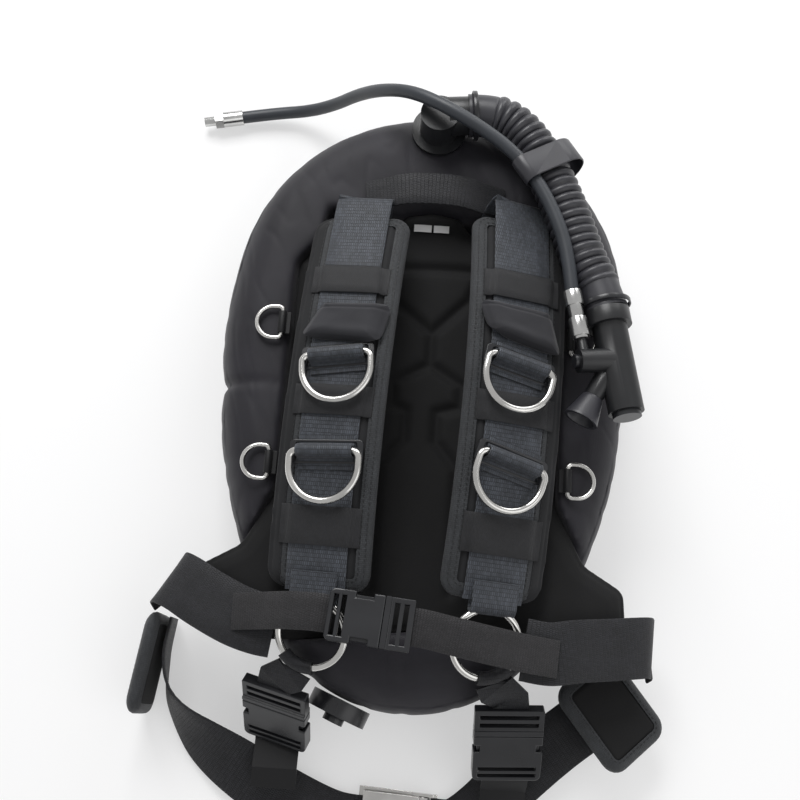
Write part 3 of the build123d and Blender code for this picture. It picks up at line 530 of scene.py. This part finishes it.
hose = swept(hose_line, hose_radius, sides=30, rows=int(hose_total / (0.72 * MM)))
smooth_faces(hose, 60)
done(hose, "corrugated_hose_skin", RUBBER, stands_for=["corrugated_hose"])
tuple(hose_line[0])

lp_hose = route_curve("lp_hose_cover", LP_ROUTE, bevel=LP_OD / 2 * MM)
done(lp_hose, "lp_hose_cover", HOSE_COVER, stands_for=["lp_hose"])
keep_node("lp_hose_fitting", CHROME, 0.4)

# ---------------------------------------------------------------- wing
WING_T = 96.0
WING_MID_Y = -35.0
NOTCH_Y, NOTCH_WIDE, NOTCH_SHARP = -19.0, 24.0, 5.0
NOTCH_SOFT_DEEP, NOTCH_SHARP_DEEP = 4.5, 6.5
PUCKERS = 40
pucker_at = [(i + chance.uniform(-0.28, 0.28)) * 2 * pi / PUCKERS for i in range(PUCKERS)]
pucker_deep = [chance.uniform(0.5, 1.25) for _ in range(PUCKERS)]


def wing_skin():
    wing = copy_of("wing_bladder")
    apply_mod(wing, "REMESH", mode="VOXEL", voxel_size=5 * MM, use_smooth_shade=True)
    apply_mod(wing, "SMOOTH", factor=0.5, iterations=6)
    apply_mod(wing, "SUBSURF", levels=1, render_levels=1)
    reach = {}
    for v in wing.data.vertices:
        p = drawn(v.co)
        if abs(p.z - WING_T / 2) < 12:
            key = round(atan2(p.y - WING_MID_Y, p.x) / (2 * pi) * 120) % 120
            reach[key] = max(reach.get(key, 0), hypot(p.x, p.y - WING_MID_Y))
    for v in wing.data.vertices:
        p = drawn(v.co)
        angle = atan2(p.y - WING_MID_Y, p.x)
        radius = hypot(p.x, p.y - WING_MID_Y)
        turn = angle / (2 * pi) * 120
        low = int(turn // 1)
        rim = reach[low % 120] * (1 - turn % 1) + reach[(low + 1) % 120] * (turn % 1)
        edge = max(0.0, 1 - (rim - radius) / 62)
        if edge <= 0:
            continue
        up = (p.z - WING_T / 2) / (WING_T / 2)
        near_seam = exp(-(up / 0.62) ** 2)
        pull = 0.0
        for centre, deep in zip(pucker_at, pucker_deep):
            gap = (angle - centre + pi) % (2 * pi) - pi
            arc = gap * rim
            if abs(arc) < 26:
                pull += deep * exp(-(arc / (4.0 + 4 * abs(up))) ** 2)
        seam = exp(-(up / 0.07) ** 2) * 1.8
        inward = (pull * 1.5 * near_seam + seam) * edge**2
        if p.x < 0:
            shallow, sharp = (exp(-((p.y - NOTCH_Y) / wide) ** 2) for wide in (NOTCH_WIDE, NOTCH_SHARP))
            inward += (NOTCH_SOFT_DEEP * shallow + NOTCH_SHARP_DEEP * sharp) * edge
        else:
            inward += 4 * exp(-((p.y + 25) / 40) ** 2) * edge
        away = Vector((p.x, p.y - WING_MID_Y, 0)).normalized()
        tilt = 0.75 - 0.35 * abs(up)
        shift = away * -inward * tilt + Vector((0, 0, -1)) * inward * 0.5 * up
        v.co += shift * MM
    for v in wing.data.vertices:
        p = drawn(v.co)
        if p.z > 75 and hypot(p.x, p.y - WING_MID_Y) > 60:
            wave = noise.noise(p * 0.017 + Vector((3, 1, 7))) * 2.2
            crease = abs(noise.noise(Vector((p.x * 0.05 + p.y * 0.02, p.y * 0.012 - p.x * 0.01, 2.0))))
            v.co.z += (wave * 0.7 - 0.5 * exp(-(crease / 0.08) ** 2) - 0.6) * MM
    smooth_faces(wing, 70)
    return done(wing, "wing_skin", WING_CLOTH, stands_for=["wing_bladder"])


wing_skin()


# ---------------------------------------------------------------- stuffed pads
def rim_points(obj, test):
    """Points of the piece's sharp outline that pass a test, in drawing millimetres."""
    found = []
    mesh = obj.data
    bm = bmesh.new()
    bm.from_mesh(mesh)
    for edge in bm.edges:
        if len(edge.link_faces) == 2 and edge.calc_face_angle(0) > radians(50):
            a, b = [drawn(v.co) for v in edge.verts]
            if test(a) and test(b):
                steps = max(1, int((b - a).length / 2))
                found += [a.lerp(b, i / steps) for i in range(steps + 1)]
    bm.free()
    return found


def stuffed(node, middle, seams, finish, edge_wide=11.0, edge_thin=0.42, voxel=3.5, name=None, relief=2.6,
            seam_wide=3.2, body="pack", to_local=lambda p: p, to_world=lambda p: p):
    """A pad from its solid: thin at the rim, full inside, pulled down along its sewn lines.

    middle(x, y) is the height of the pad's middle sheet; seams are lines in its plan."""
    pad = copy_of(node)
    outline = []
    for p in rim_points(pad, lambda q: True):
        q = to_local(p)
        outline.append((q.x, q.y))
    tree = kdtree.KDTree(len(outline))
    for i, (x, y) in enumerate(outline):
        tree.insert((x, y, 0), i)
    tree.balance()
    sewn = []
    for line in seams:
        for a, b in zip(line, line[1:]):
            steps = max(1, int(hypot(b[0] - a[0], b[1] - a[1]) / 1.5))
            sewn += [(a[0] + (b[0] - a[0]) * i / steps, a[1] + (b[1] - a[1]) * i / steps) for i in range(steps + 1)]
    seam_tree = kdtree.KDTree(max(1, len(sewn)))
    for i, (x, y) in enumerate(sewn):
        seam_tree.insert((x, y, 0), i)
    seam_tree.balance()
    apply_mod(pad, "REMESH", mode="VOXEL", voxel_size=voxel * MM, use_smooth_shade=True)
    apply_mod(pad, "SMOOTH", factor=0.5, iterations=3)
    apply_mod(pad, "SUBSURF", levels=1, render_levels=1)
    for v in pad.data.vertices:
        q = to_local(drawn(v.co))
        mid = middle(q.x, q.y)
        near = tree.find((q.x, q.y, 0))[2]
        full = edge_thin + (1 - edge_thin) * min(1.0, max(0.0, (near - 4.0)) / edge_wide) ** 0.55
        rise = (q.z - mid) * full
        if sewn and q.z > mid:
            gap = seam_tree.find((q.x, q.y, 0))[2]
            rise -= relief * exp(-(gap / seam_wide) ** 2) * full
        q.z = mid + rise
        v.co = spot(*to_world(q))
    smooth_faces(pad, 70)
    return done(pad, name or node + "_cushion", finish, body, stands_for=[node])


PAD_Z, PAD_T, PAD_RISE, PAD_DROP = 68.2, 13.0, 9.0, 26.0
PLATE_FLAT, PAD_LOBE, PAD_TIP = 69.0, 115.0, 212.0


def pad_middle(x, y):
    """Height of the back pad's middle sheet across the body."""
    x = abs(x)
    line = [(0, PAD_Z), (PLATE_FLAT, PAD_Z), (PAD_LOBE, PAD_Z + PAD_RISE),
            (PAD_LOBE + 28, PAD_Z + PAD_RISE - 3), (PAD_TIP, PAD_Z - PAD_DROP)]
    for (x0, z0), (x1, z1) in zip(line, line[1:]):
        if x <= x1:
            break
    return z0 + (z1 - z0) * (x - x0) / (x1 - x0) + PAD_T / 2


PAD_SEAMS = [
    [(-30, 68), (5, 39), (37, 72), (50, 100), (30, 101), (6, 101), (-20, 100), (-40, 98), (-30, 68)],
    [(5, 39), (5, 10), (34, -8), (34, -28), (14, -34), (14, -60), (34, -84)],
    [(5, 10), (-26, -8), (-26, -28), (-14, -34), (-14, -60), (-34, -84)],
    [(34, -84), (34, -190)], [(-34, -84), (-34, -190)],
    [(-62, 120), (-62, -205)], [(64, 120), (64, -205)],
]
stuffed("back_pad", pad_middle, PAD_SEAMS, PAD_CLOTH, name="back_cushion", relief=4.0, seam_wide=5.0)

# ---------------------------------------------------------------- shoulder straps
ARCH_R, STRAP_MID_Y, STRAP_HALF = 700.0, -32.0, 168.0
SHOULDER_W, SHOULDER_T, PAD_INBOARD = 78.0, 11.0, 4.0
STRAPS = {"left": (-73.0, 133.0, -2.4, -10.0), "right": (77.0, 139.0, -2.0, 16.0)}
OUT = {"left": -1, "right": 1}
strap_turn = {}
for side, (mid_x, top_z, yaw, roll) in STRAPS.items():
    strap_turn[side] = (Matrix.Translation((mid_x, STRAP_MID_Y, top_z))
                        @ Matrix.Rotation(radians(yaw), 4, "Z") @ Matrix.Rotation(radians(roll), 4, "Y"))


def on_strap(side, s, lift, x=0.0):
    """A place on a shoulder strap in drawing millimetres: s along it, lift off the pad, x across."""
    a = s / ARCH_R
    return strap_turn[side] @ Vector((x, (ARCH_R + lift) * sin(a), (ARCH_R + lift) * cos(a) - ARCH_R))


def off_strap(side, p):
    """The strap's own s, lift and x of a drawn place, as x, s, lift."""
    q = strap_turn[side].inverted() @ p
    a = atan2(q.y, q.z + ARCH_R)
    return Vector((q.x, a * ARCH_R, hypot(q.y, q.z + ARCH_R) - ARCH_R))


WEB_LIFT = 2.8
RINGS = {"upper": 26.0, "lower": -56.0}
RING_SKEW = {("left", "upper"): 8.0, ("left", "lower"): 3.0, ("right", "upper"): -10.0, ("right", "lower"): -12.0}
KEEPERS = ((98.0, 26.0), (-12.0, 26.0), (-116.0, 32.0))
JOIN_R = 28.0
JOIN_S = -202.0
JOIN_UP = 1.0
for side, out in OUT.items():
    mid = -out * PAD_INBOARD
    stuffed(f"shoulder_pad_{side}", lambda x, y: -SHOULDER_T / 2,
            [[(mid - 27, -158), (mid - 27, 158)], [(mid + 27, -158), (mid + 27, 158)]], STRAP_CLOTH,
            name=f"shoulder_cushion_{side}", edge_wide=7, relief=1.6, seam_wide=2.2, voxel=3.0,
            to_local=lambda p, side=side: off_strap(side, p),
            to_world=lambda q, side=side: on_strap(side, q.y, q.z, q.x))


def rounded_box(half_s, half_x, corner, pitch=4.0):
    """Closed outline of a rounded rectangle as (s, x, outward s, outward x), evenly dense."""
    line = []
    for cx, cs, start in ((1, 1, 0), (-1, 1, 90), (-1, -1, 180), (1, -1, 270)):
        for k in range(7):
            a = radians(start + 15 * k)
            line.append((cs * (half_s - corner) + corner * sin(a), cx * (half_x - corner) + corner * cos(a),
                         sin(a), cos(a)))
    dense = []
    for p, q in zip(line, line[1:] + line[:1]):
        steps = max(1, int(hypot(q[0] - p[0], q[1] - p[1]) / pitch))
        dense += [tuple(p[i] + (q[i] - p[i]) * k / steps for i in range(4)) for k in range(steps)]
    return dense


FOLD = [(11.0, -0.4), (11.0, 0.7), (6.0, 0.5), (2.6, -0.9), (0.2, -2.6), (-0.9, -5.5), (0.2, -8.4), (2.6, -10.2),
        (10.0, -11.6)]


def edge_tape(name, outline, seat, fold=FOLD):
    """Folded tape sewn flat over a pad's edge; seat(s, x, lift) is a place on the pad."""
    count = len(outline)
    run = [0.0]
    for p, q in zip(outline, outline[1:] + outline[:1]):
        run.append(run[-1] + hypot(q[0] - p[0], q[1] - p[1]))
    wide = [0.0]
    for a, b in zip(fold, fold[1:]):
        wide.append(wide[-1] + hypot(b[0] - a[0], b[1] - a[1]))
    rows, columns = count, len(fold) - 1

    def place(u, v):
        s, x, out_s, out_x = outline[round(u * rows) % count]
        inward, lift = fold[round(v * columns)]
        return seat(s - out_s * inward, x - out_x * inward, lift)

    tape = sheet_of(rows, columns, place, lambda u, v: (run[round(u * rows)] * MM, wide[round(v * columns)] * MM))
    smooth_faces(tape, 60)
    return done(tape, name, BINDING)


def stitches(name, lines, seat, pitch=4.2, long=2.6, wide=0.75, body="pack", finish=None):
    """Raised thread stitches along lines of (s, x, lift) places; seat puts them on their cloth."""
    bpy.ops.object.select_all(action="DESELECT")
    bpy.ops.mesh.primitive_cube_add(size=0.001, location=(0, 0, 0))
    obj = bpy.context.object
    bm = bmesh.new()
    for line in lines:
        spots = [Vector(seat(*p)) for p in line]
        ups = [(Vector(seat(p[0], p[1], p[2] + 1.0)) - q).normalized() for p, q in zip(line, spots)]
        run = measured(spots)
        at = pitch * 0.5 * MM
        while at < run[-1] - long * 0.5 * MM:
            point, ahead = along(spots, run, at)
            up = ups[min(range(len(run)), key=lambda i: abs(run[i] - at))]
            side = ahead.cross(up).normalized() * (wide / 2 * MM)
            half = ahead * (long / 2 * MM)
            high = up * (0.35 * MM)
            low = [bm.verts.new(point + half * a + side * b * (1 - 0.45 * abs(a))) for a, b in
                   ((-1, -1), (0, -1), (1, -1), (1, 1), (0, 1), (-1, 1))]
            top = [bm.verts.new(v.co + high * (1.0 if i in (1, 4) else 0.35)) for i, v in enumerate(low)]
            bm.faces.new(top)
            for i in range(6):
                bm.faces.new((low[i - 1], low[i], top[i], top[i - 1]))
            at += pitch * MM
    bm.normal_update()
    bm.to_mesh(obj.data)
    bm.free()
    smooth_faces(obj, 60)
    return done(obj, name, finish or THREAD, body)


def on_pad(side):
    mid = -OUT[side] * PAD_INBOARD
    return lambda s, x, lift: spot(*on_strap(side, s, lift, x + mid))


ROOT_X, ROOT_Y, ROOT_Z = 64.0, 143.0, 60.6
PLATE_Z = 62.1
for side, out in OUT.items():
    across = on_strap(side, 0, 0, 1) - on_strap(side, 0, 0, 0)
    edge = rounded_box(STRAP_HALF, SHOULDER_W / 2, 15)
    edge_tape(f"shoulder_binding_{side}", edge, on_pad(side))
    sewn = [(s - out_s * 8.6, x - out_x * 8.6, 0.75) for s, x, out_s, out_x in edge]
    inner = [(s - out_s * 3.6, x - out_x * 3.6, 0.2) for s, x, out_s, out_x in edge]
    stitches(f"shoulder_stitches_{side}", [sewn + sewn[:1], inner + inner[:1]], on_pad(side))

    stop = JOIN_S + JOIN_R + 5.0
    level = [(s, WEB_LIFT / 2 + 0.25) for s in range(int(stop), 139, 12)]
    route = [on_strap(side, s, lift) for s, lift in level]
    route += [on_strap(side, 150, 2.2), on_strap(side, 160, 2.9), on_strap(side, 170, 3.4), on_strap(side, 181, 3.2)]
    turn = on_strap(side, 187, 0.2)
    route += [turn, Vector((turn.x * 0.6 + out * ROOT_X * 0.4, turn.y - 2, turn.z - 9)),
              Vector((out * ROOT_X, ROOT_Y + 1, PLATE_Z + 8)), Vector((out * ROOT_X, ROOT_Y - 4, ROOT_Z))]
    straps = [across] * (len(route) - 2) + [Vector((1, 0, 0))] * 2
    strap(f"shoulder_web_{side}", route, WEB, HARNESS_WEB, across=straps,
          stands_for=[f"shoulder_webbing_{side}"], steps=4)

    # the folded end round the junction ring
    ring_mid = on_strap(side, JOIN_S, WEB_LIFT + JOIN_UP)
    forth = (on_strap(side, JOIN_S + 1, 0) - on_strap(side, JOIN_S, 0)).normalized()
    lift = across.cross(forth).normalized()
    loop = [(40, -2.6), (33, -3.4), (JOIN_R, -4.6), (JOIN_R - 4.7, 0), (JOIN_R, 4.7), (33, 4.3), (40, 2.2), (50, 1.2)]
    strap(f"join_fold_{side}", [ring_mid + forth * y + lift * z for y, z in loop], WEB - 12, HARNESS_WEB,
          across=across, steps=4, thick=2.2)
    for level_name, s in RINGS.items():
        skew = radians(RING_SKEW[side, level_name])
        forth = on_strap(side, s + 1, 0) - on_strap(side, s, 0)
        turn = across * cos(skew) + forth * sin(skew)
        forth = forth * cos(skew) - across * sin(skew)
        up = across.cross(forth).normalized()
        base = on_strap(side, s, 0)
        hump = [(-15, 2.2), (-7, 2.6), (-4.6, 5.8), (-4.5, 10.5), (-3.3, 13.8), (0, 15.4), (3.3, 13.8), (4.5, 10.5),
                (4.6, 5.6), (6.4, 2.4), (14, 1.8)]
        strap(f"ring_web_{side}_{level_name}", [base + forth * y + up * (z + 1.2) for y, z in hump], WEB - 3,
              HARNESS_WEB, across=turn, steps=3, thick=2.2)
    for number, (s, long) in enumerate(KEEPERS):
        reach = [(-33.5, 0.9), (-30, 1.1), (-26.8, 2.2), (-25, 4.3), (-15, 4.7), (0, 4.9), (15, 4.7), (25, 4.3),
                 (26.8, 2.2), (30, 1.1), (34, 0.9)]
        forth = on_strap(side, s + 1, 0) - on_strap(side, s, 0)
        if number == 0:
            forth = forth * cos(0.10) + across * out * sin(0.10)
        strap(f"keeper_{side}_{number}", [on_strap(side, s, lift, x) for x, lift in reach], long, LOOP_WEB,
              across=forth, thick=1.5, steps=4,
              stands_for=["shoulder_keepers"] if (side, number) == ("left", 0) else ())


# ---------------------------------------------------------------- wraps over the upper webbing
WRAP_CORNERS = {     # x and s of the four corners, as the soft flap hangs
    "left": {(-1, 1): (-20, 74), (1, 1): (42, 76), (1, -1): (36, 37), (-1, -1): (-38, 40)},
    "right": {(-1, 1): (-40, 80), (1, 1): (26, 78), (1, -1): (39, 36), (-1, -1): (-30, 50)}}


def wrap(side):
    """A padded cloth sleeve that folds over the webbing, with a soft hanging flap."""
    corners = WRAP_CORNERS[side]
    seed = 1.0 if side == "left" else 4.0

    def shape(u, v):
        a = 2 * pi * u
        cs, sn = cos(a), sin(a)
        x = abs(cs) ** 0.36 * (1 if cs > 0 else -1) * v
        y = abs(sn) ** 0.36 * (1 if sn > 0 else -1) * v
        across_x = along_s = 0.0
        for (i, j), (corner_x, corner_s) in corners.items():
            part = (1 + i * x) * (1 + j * y) / 4
            across_x += part * corner_x
            along_s += part * corner_s
        fall = max(abs(x), abs(y))
        dome = (1 - fall**6) ** 0.5
        sides = min(1.0, max(0.0, (abs(across_x) - 24) / 16))
        lift = 0.6 + 11.5 * dome * (1 - 0.62 * sides**1.4)
        lift += 1.3 * exp(-((y + 0.55) / 0.25) ** 2) * dome - 0.9 * exp(-((y - 0.62) / 0.06) ** 2) * dome
        lift -= 0.8 * exp(-((fall - 0.88) / 0.03) ** 2)
        lift += 0.9 * noise.noise(Vector((x * 1.8, y * 1.6, seed))) * dome
        return spot(*on_strap(side, along_s, max(0.5, lift), across_x))

    flap = sheet_of(96, 22, lambda u, v: shape(u, 0.02 + 0.98 * v))
    tidy(flap)
    apply_mod(flap, "SOLIDIFY", thickness=1.6 * MM, offset=-1)
    apply_mod(flap, "SUBSURF", levels=1, render_levels=1)
    smooth_faces(flap, 70)
    done(flap, f"strap_wrap_skin_{side}", FLAP_CLOTH, stands_for=[f"strap_wrap_{side}"])


for side in OUT:
    wrap(side)

# ---------------------------------------------------------------- handle, chest strap, waist
strap("carry_handle_web", [(-62, 161, 97.6), (-46, 163, 103), (-25, 166, 109), (0, 167, 110), (25, 166, 109),
                           (46, 163, 103), (62, 161, 97.6)], 30, BELT_WEB, across=(0, 1, 0),
      stands_for=["carry_handle"])
CHEST_AT, CHEST_YAW = (-20.0, -222.0, 132.0), -5.0
chest_turn = Matrix.Translation(CHEST_AT) @ Matrix.Rotation(radians(CHEST_YAW), 4, "Z")


def on_chest(x, y=0.0, z=0.0):
    return tuple(chest_turn @ Vector((x, y, z)))


strap("chest_web_left", [(-143, -219, 102.6), (-124, -218, 111), (-98, -217, 126), on_chest(-54), on_chest(-40)],
      30, CHEST_WEB, across=(0.05, 1, 0), thick=2.0, stands_for=["chest_strap_left"])
chest_right = strap("chest_web_right", [on_chest(20), on_chest(34), (36, -229, 132), (66, -234, 129.5),
                                        (98, -238, 118),
                                        (122, -240, 107.2)], 30, CHEST_WEB, across=(0.08, 1, 0), thick=2.0,
                    stands_for=["chest_strap_right"], body=None)
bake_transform(chest_right)
strap("waist_web_left", [(-108.3, -228.9, 103), (-122, -227, 103), (-142, -221, 99.5), (-170, -208, 88),
                         (-190, -197, 78), (-204, -191, 67), (-207, -192, 53), (-203, -200, 41)], WEB, BELT_WEB,
      across=[(0.1, 1, 0), (0.25, 0.95, 0)] + [(0.5, 0.86, 0)] * 6, stands_for=["waist_straps"])
strap("waist_web_right", [(94.4, -233.9, 105.8), (116, -236, 105), (140, -232, 100.5), (170, -228, 88),
                          (190, -225, 79), (204, -223, 68), (207, -224, 54), (203, -228, 43)], WEB, BELT_WEB,
      across=(0.06, 1, 0))
strap("belt_web_left", [(-205, -222, 29), (-208, -256, 28), (-200, -290, 26), (-172, -320, 22), (-132, -346, 16),
                        (-94, -366, 11), (-56, -381, 7), (-25, -385, 5.1)], WEB, BELT_WEB,
      across=[(0.1, 0, 1), (0.1, 0, 1), (0.3, 0.2, 0.9), (0.45, 0.6, 0.6), (0.4, 0.9, 0.3),
              (0.3, 1, 0.1), (0.1, 1, 0), (0, 1, 0)], stands_for=["belt_webbing_left"])
strap("belt_web_right", [(186, -262, 28), (160, -284, 24), (128, -310, 21), (98, -338, 17), (74, -364, 13),
                         (52, -381, 7.8), (30.5, -383, 5.1)], WEB, BELT_WEB,
      across=[(0.5, 0.9, 0.1)] * 5 + [(0, 1, 0)] * 2, stands_for=["belt_webbing_right"])


def facing(origin, x_dir, z_dir):
    """A frame with its X along x_dir and its Z near z_dir."""
    x_dir = Vector(x_dir).normalized()
    z_dir = Vector(z_dir)
    z_dir = (z_dir - x_dir * z_dir.dot(x_dir)).normalized()
    y_dir = z_dir.cross(x_dir)
    turn = Matrix((x_dir, y_dir, z_dir)).transposed().to_4x4()
    return Matrix.Translation(origin) @ turn


HIP_L, HIP_W = 84.0, 66.0
HIP_SEATS = {"left": facing((-220, -262, 35), (-0.12, -0.99, 0), (-0.99, 0.12, 0)),
             "right": facing((176, -277, 43.4), (0.64, -0.77, -0.1), (0.25, 0.1, 0.95))}
for side, seat in HIP_SEATS.items():
    frame_line = [[(-33, -25), (33, -25), (33, 25), (-33, 25), (-33, -25)]]
    stuffed(f"hip_pad_{side}", lambda x, y: 0.0, frame_line, PAD_CLOTH, edge_wide=6, relief=1.4,
            seam_wide=2.0, voxel=2.6, name=f"hip_cushion_{side}",
            to_local=lambda p, seat=seat: seat.inverted() @ p, to_world=lambda q, seat=seat: seat @ q)
    edge = rounded_box(HIP_L / 2, HIP_W / 2, 14)
    put_on = lambda s, x, lift, seat=seat: spot(*(seat @ Vector((s, x, lift))))
    thin = [(9.0, 5.3), (9.0, 6.3), (5.0, 6.1), (2.2, 4.6), (0.2, 2.8), (-0.8, 0), (0.2, -2.8), (2.2, -4.6),
            (8.5, -5.9)]
    edge_tape(f"hip_binding_{side}", edge, put_on, thin)
    sewn = [(s - out_s * 7.0, x - out_x * 7.0, 6.3) for s, x, out_s, out_x in edge]
    stitches(f"hip_stitches_{side}", [sewn + sewn[:1]], put_on)

# the short webbing from each junction ring to its lower buckle
LOWER_RUN = {     # end at the plug, way to the ring, width direction
    "left": ((-97.2, -280, 79), (0.0, 0.6, 0.8), (0.88, -0.35, 0)),
    "right": ((79.8, -280, 82), (-0.03, 0.8, 0.6), (1, 0.1, 0)),
}
for side, (plug_end, toward, wide) in LOWER_RUN.items():
    toward, wide = Vector(toward).normalized(), Vector(wide).normalized()
    band = copy_of(f"lower_strap_{side}")
    weave_map = band.data.uv_layers.active or band.data.uv_layers.new(name="UVMap")
    for loop in band.data.loops:
        p = drawn(band.data.vertices[loop.vertex_index].co)
        weave_map.data[loop.index].uv = (p.dot(toward) * MM, p.dot(wide) * MM)
    done(band, f"lower_web_{side}", BELT_WEB, None, [f"lower_strap_{side}"])
    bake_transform(band)

# two small cloth tags sewn on the back pad, left bare
TAG_Z = 83.0
for tag, low_x, high_x in (("left", -17, -1), ("right", 1, 15)):
    strap(f"size_tag_{tag}", [(low_x, 139.5, TAG_Z), ((low_x + high_x) / 2, 139.5, TAG_Z + 0.3),
                              (high_x, 139.5, TAG_Z)], 7, LABEL, across=(0, 1, 0), thick=0.8, steps=3)

# ---------------------------------------------------------------- solids that keep their shape
for side in OUT:
    for level in ("upper", "lower"):
        keep_node(f"shoulder_ring_{side}_{level}", STEEL)
        keep_node(f"wing_ring_{side}_{level}", STEEL)
    keep_node(f"joint_ring_{side}", STEEL)
    keep_node(f"lower_buckle_socket_{side}", PLASTIC, 1.0)
    keep_node(f"lower_buckle_plug_{side}", PLASTIC, 0.8)
keep_node("chest_buckle_socket", PLASTIC, 1.0)
keep_node("chest_buckle_plug", PLASTIC, 0.8)
keep_node("strap_slides", PLASTIC, 0.5)
keep_node("wing_ring_tabs", BELT_WEB, 0.4)
keep_node("lower_tails", BELT_WEB, 0.4)
keep_node("backplate", ALUMINIUM, 0.6)
keep_node("plate_bolts", STEEL, 0.4)
keep_node("cam_bands", BELT_WEB, 0.4)
keep_node("cam_buckles", STEEL, 0.5)
keep_node("cam_lever_upper", PLASTIC, 0.6)
keep_node("cam_lever_lower", PLASTIC, 0.6)
keep_node("waist_buckle_frame", STEEL, 0.4)
keep_node("waist_buckle_lever", STEEL, 0.4)
keep_node("wing_elbow", SOFT_PLASTIC, 1.2)
keep_node("hose_ties", PLASTIC, 0.3)
keep_node("inflator_body", SOFT_PLASTIC, 1.0)
keep_node("lp_coupler", CHROME, 0.4)
keep_node("lp_coupler_sleeve", CHROME, 0.5)
keep_node("inflate_button", PLASTIC, 0.6)
keep_node("deflate_button", PLASTIC, 0.8)
keep_node("mouthpiece", RUBBER, 0.8)
keep_node("hose_retainer", RUBBER, 0.8)
keep_node("dump_valve", PLASTIC, 1.0)
keep_node("dump_knob", PLASTIC, 0.8)
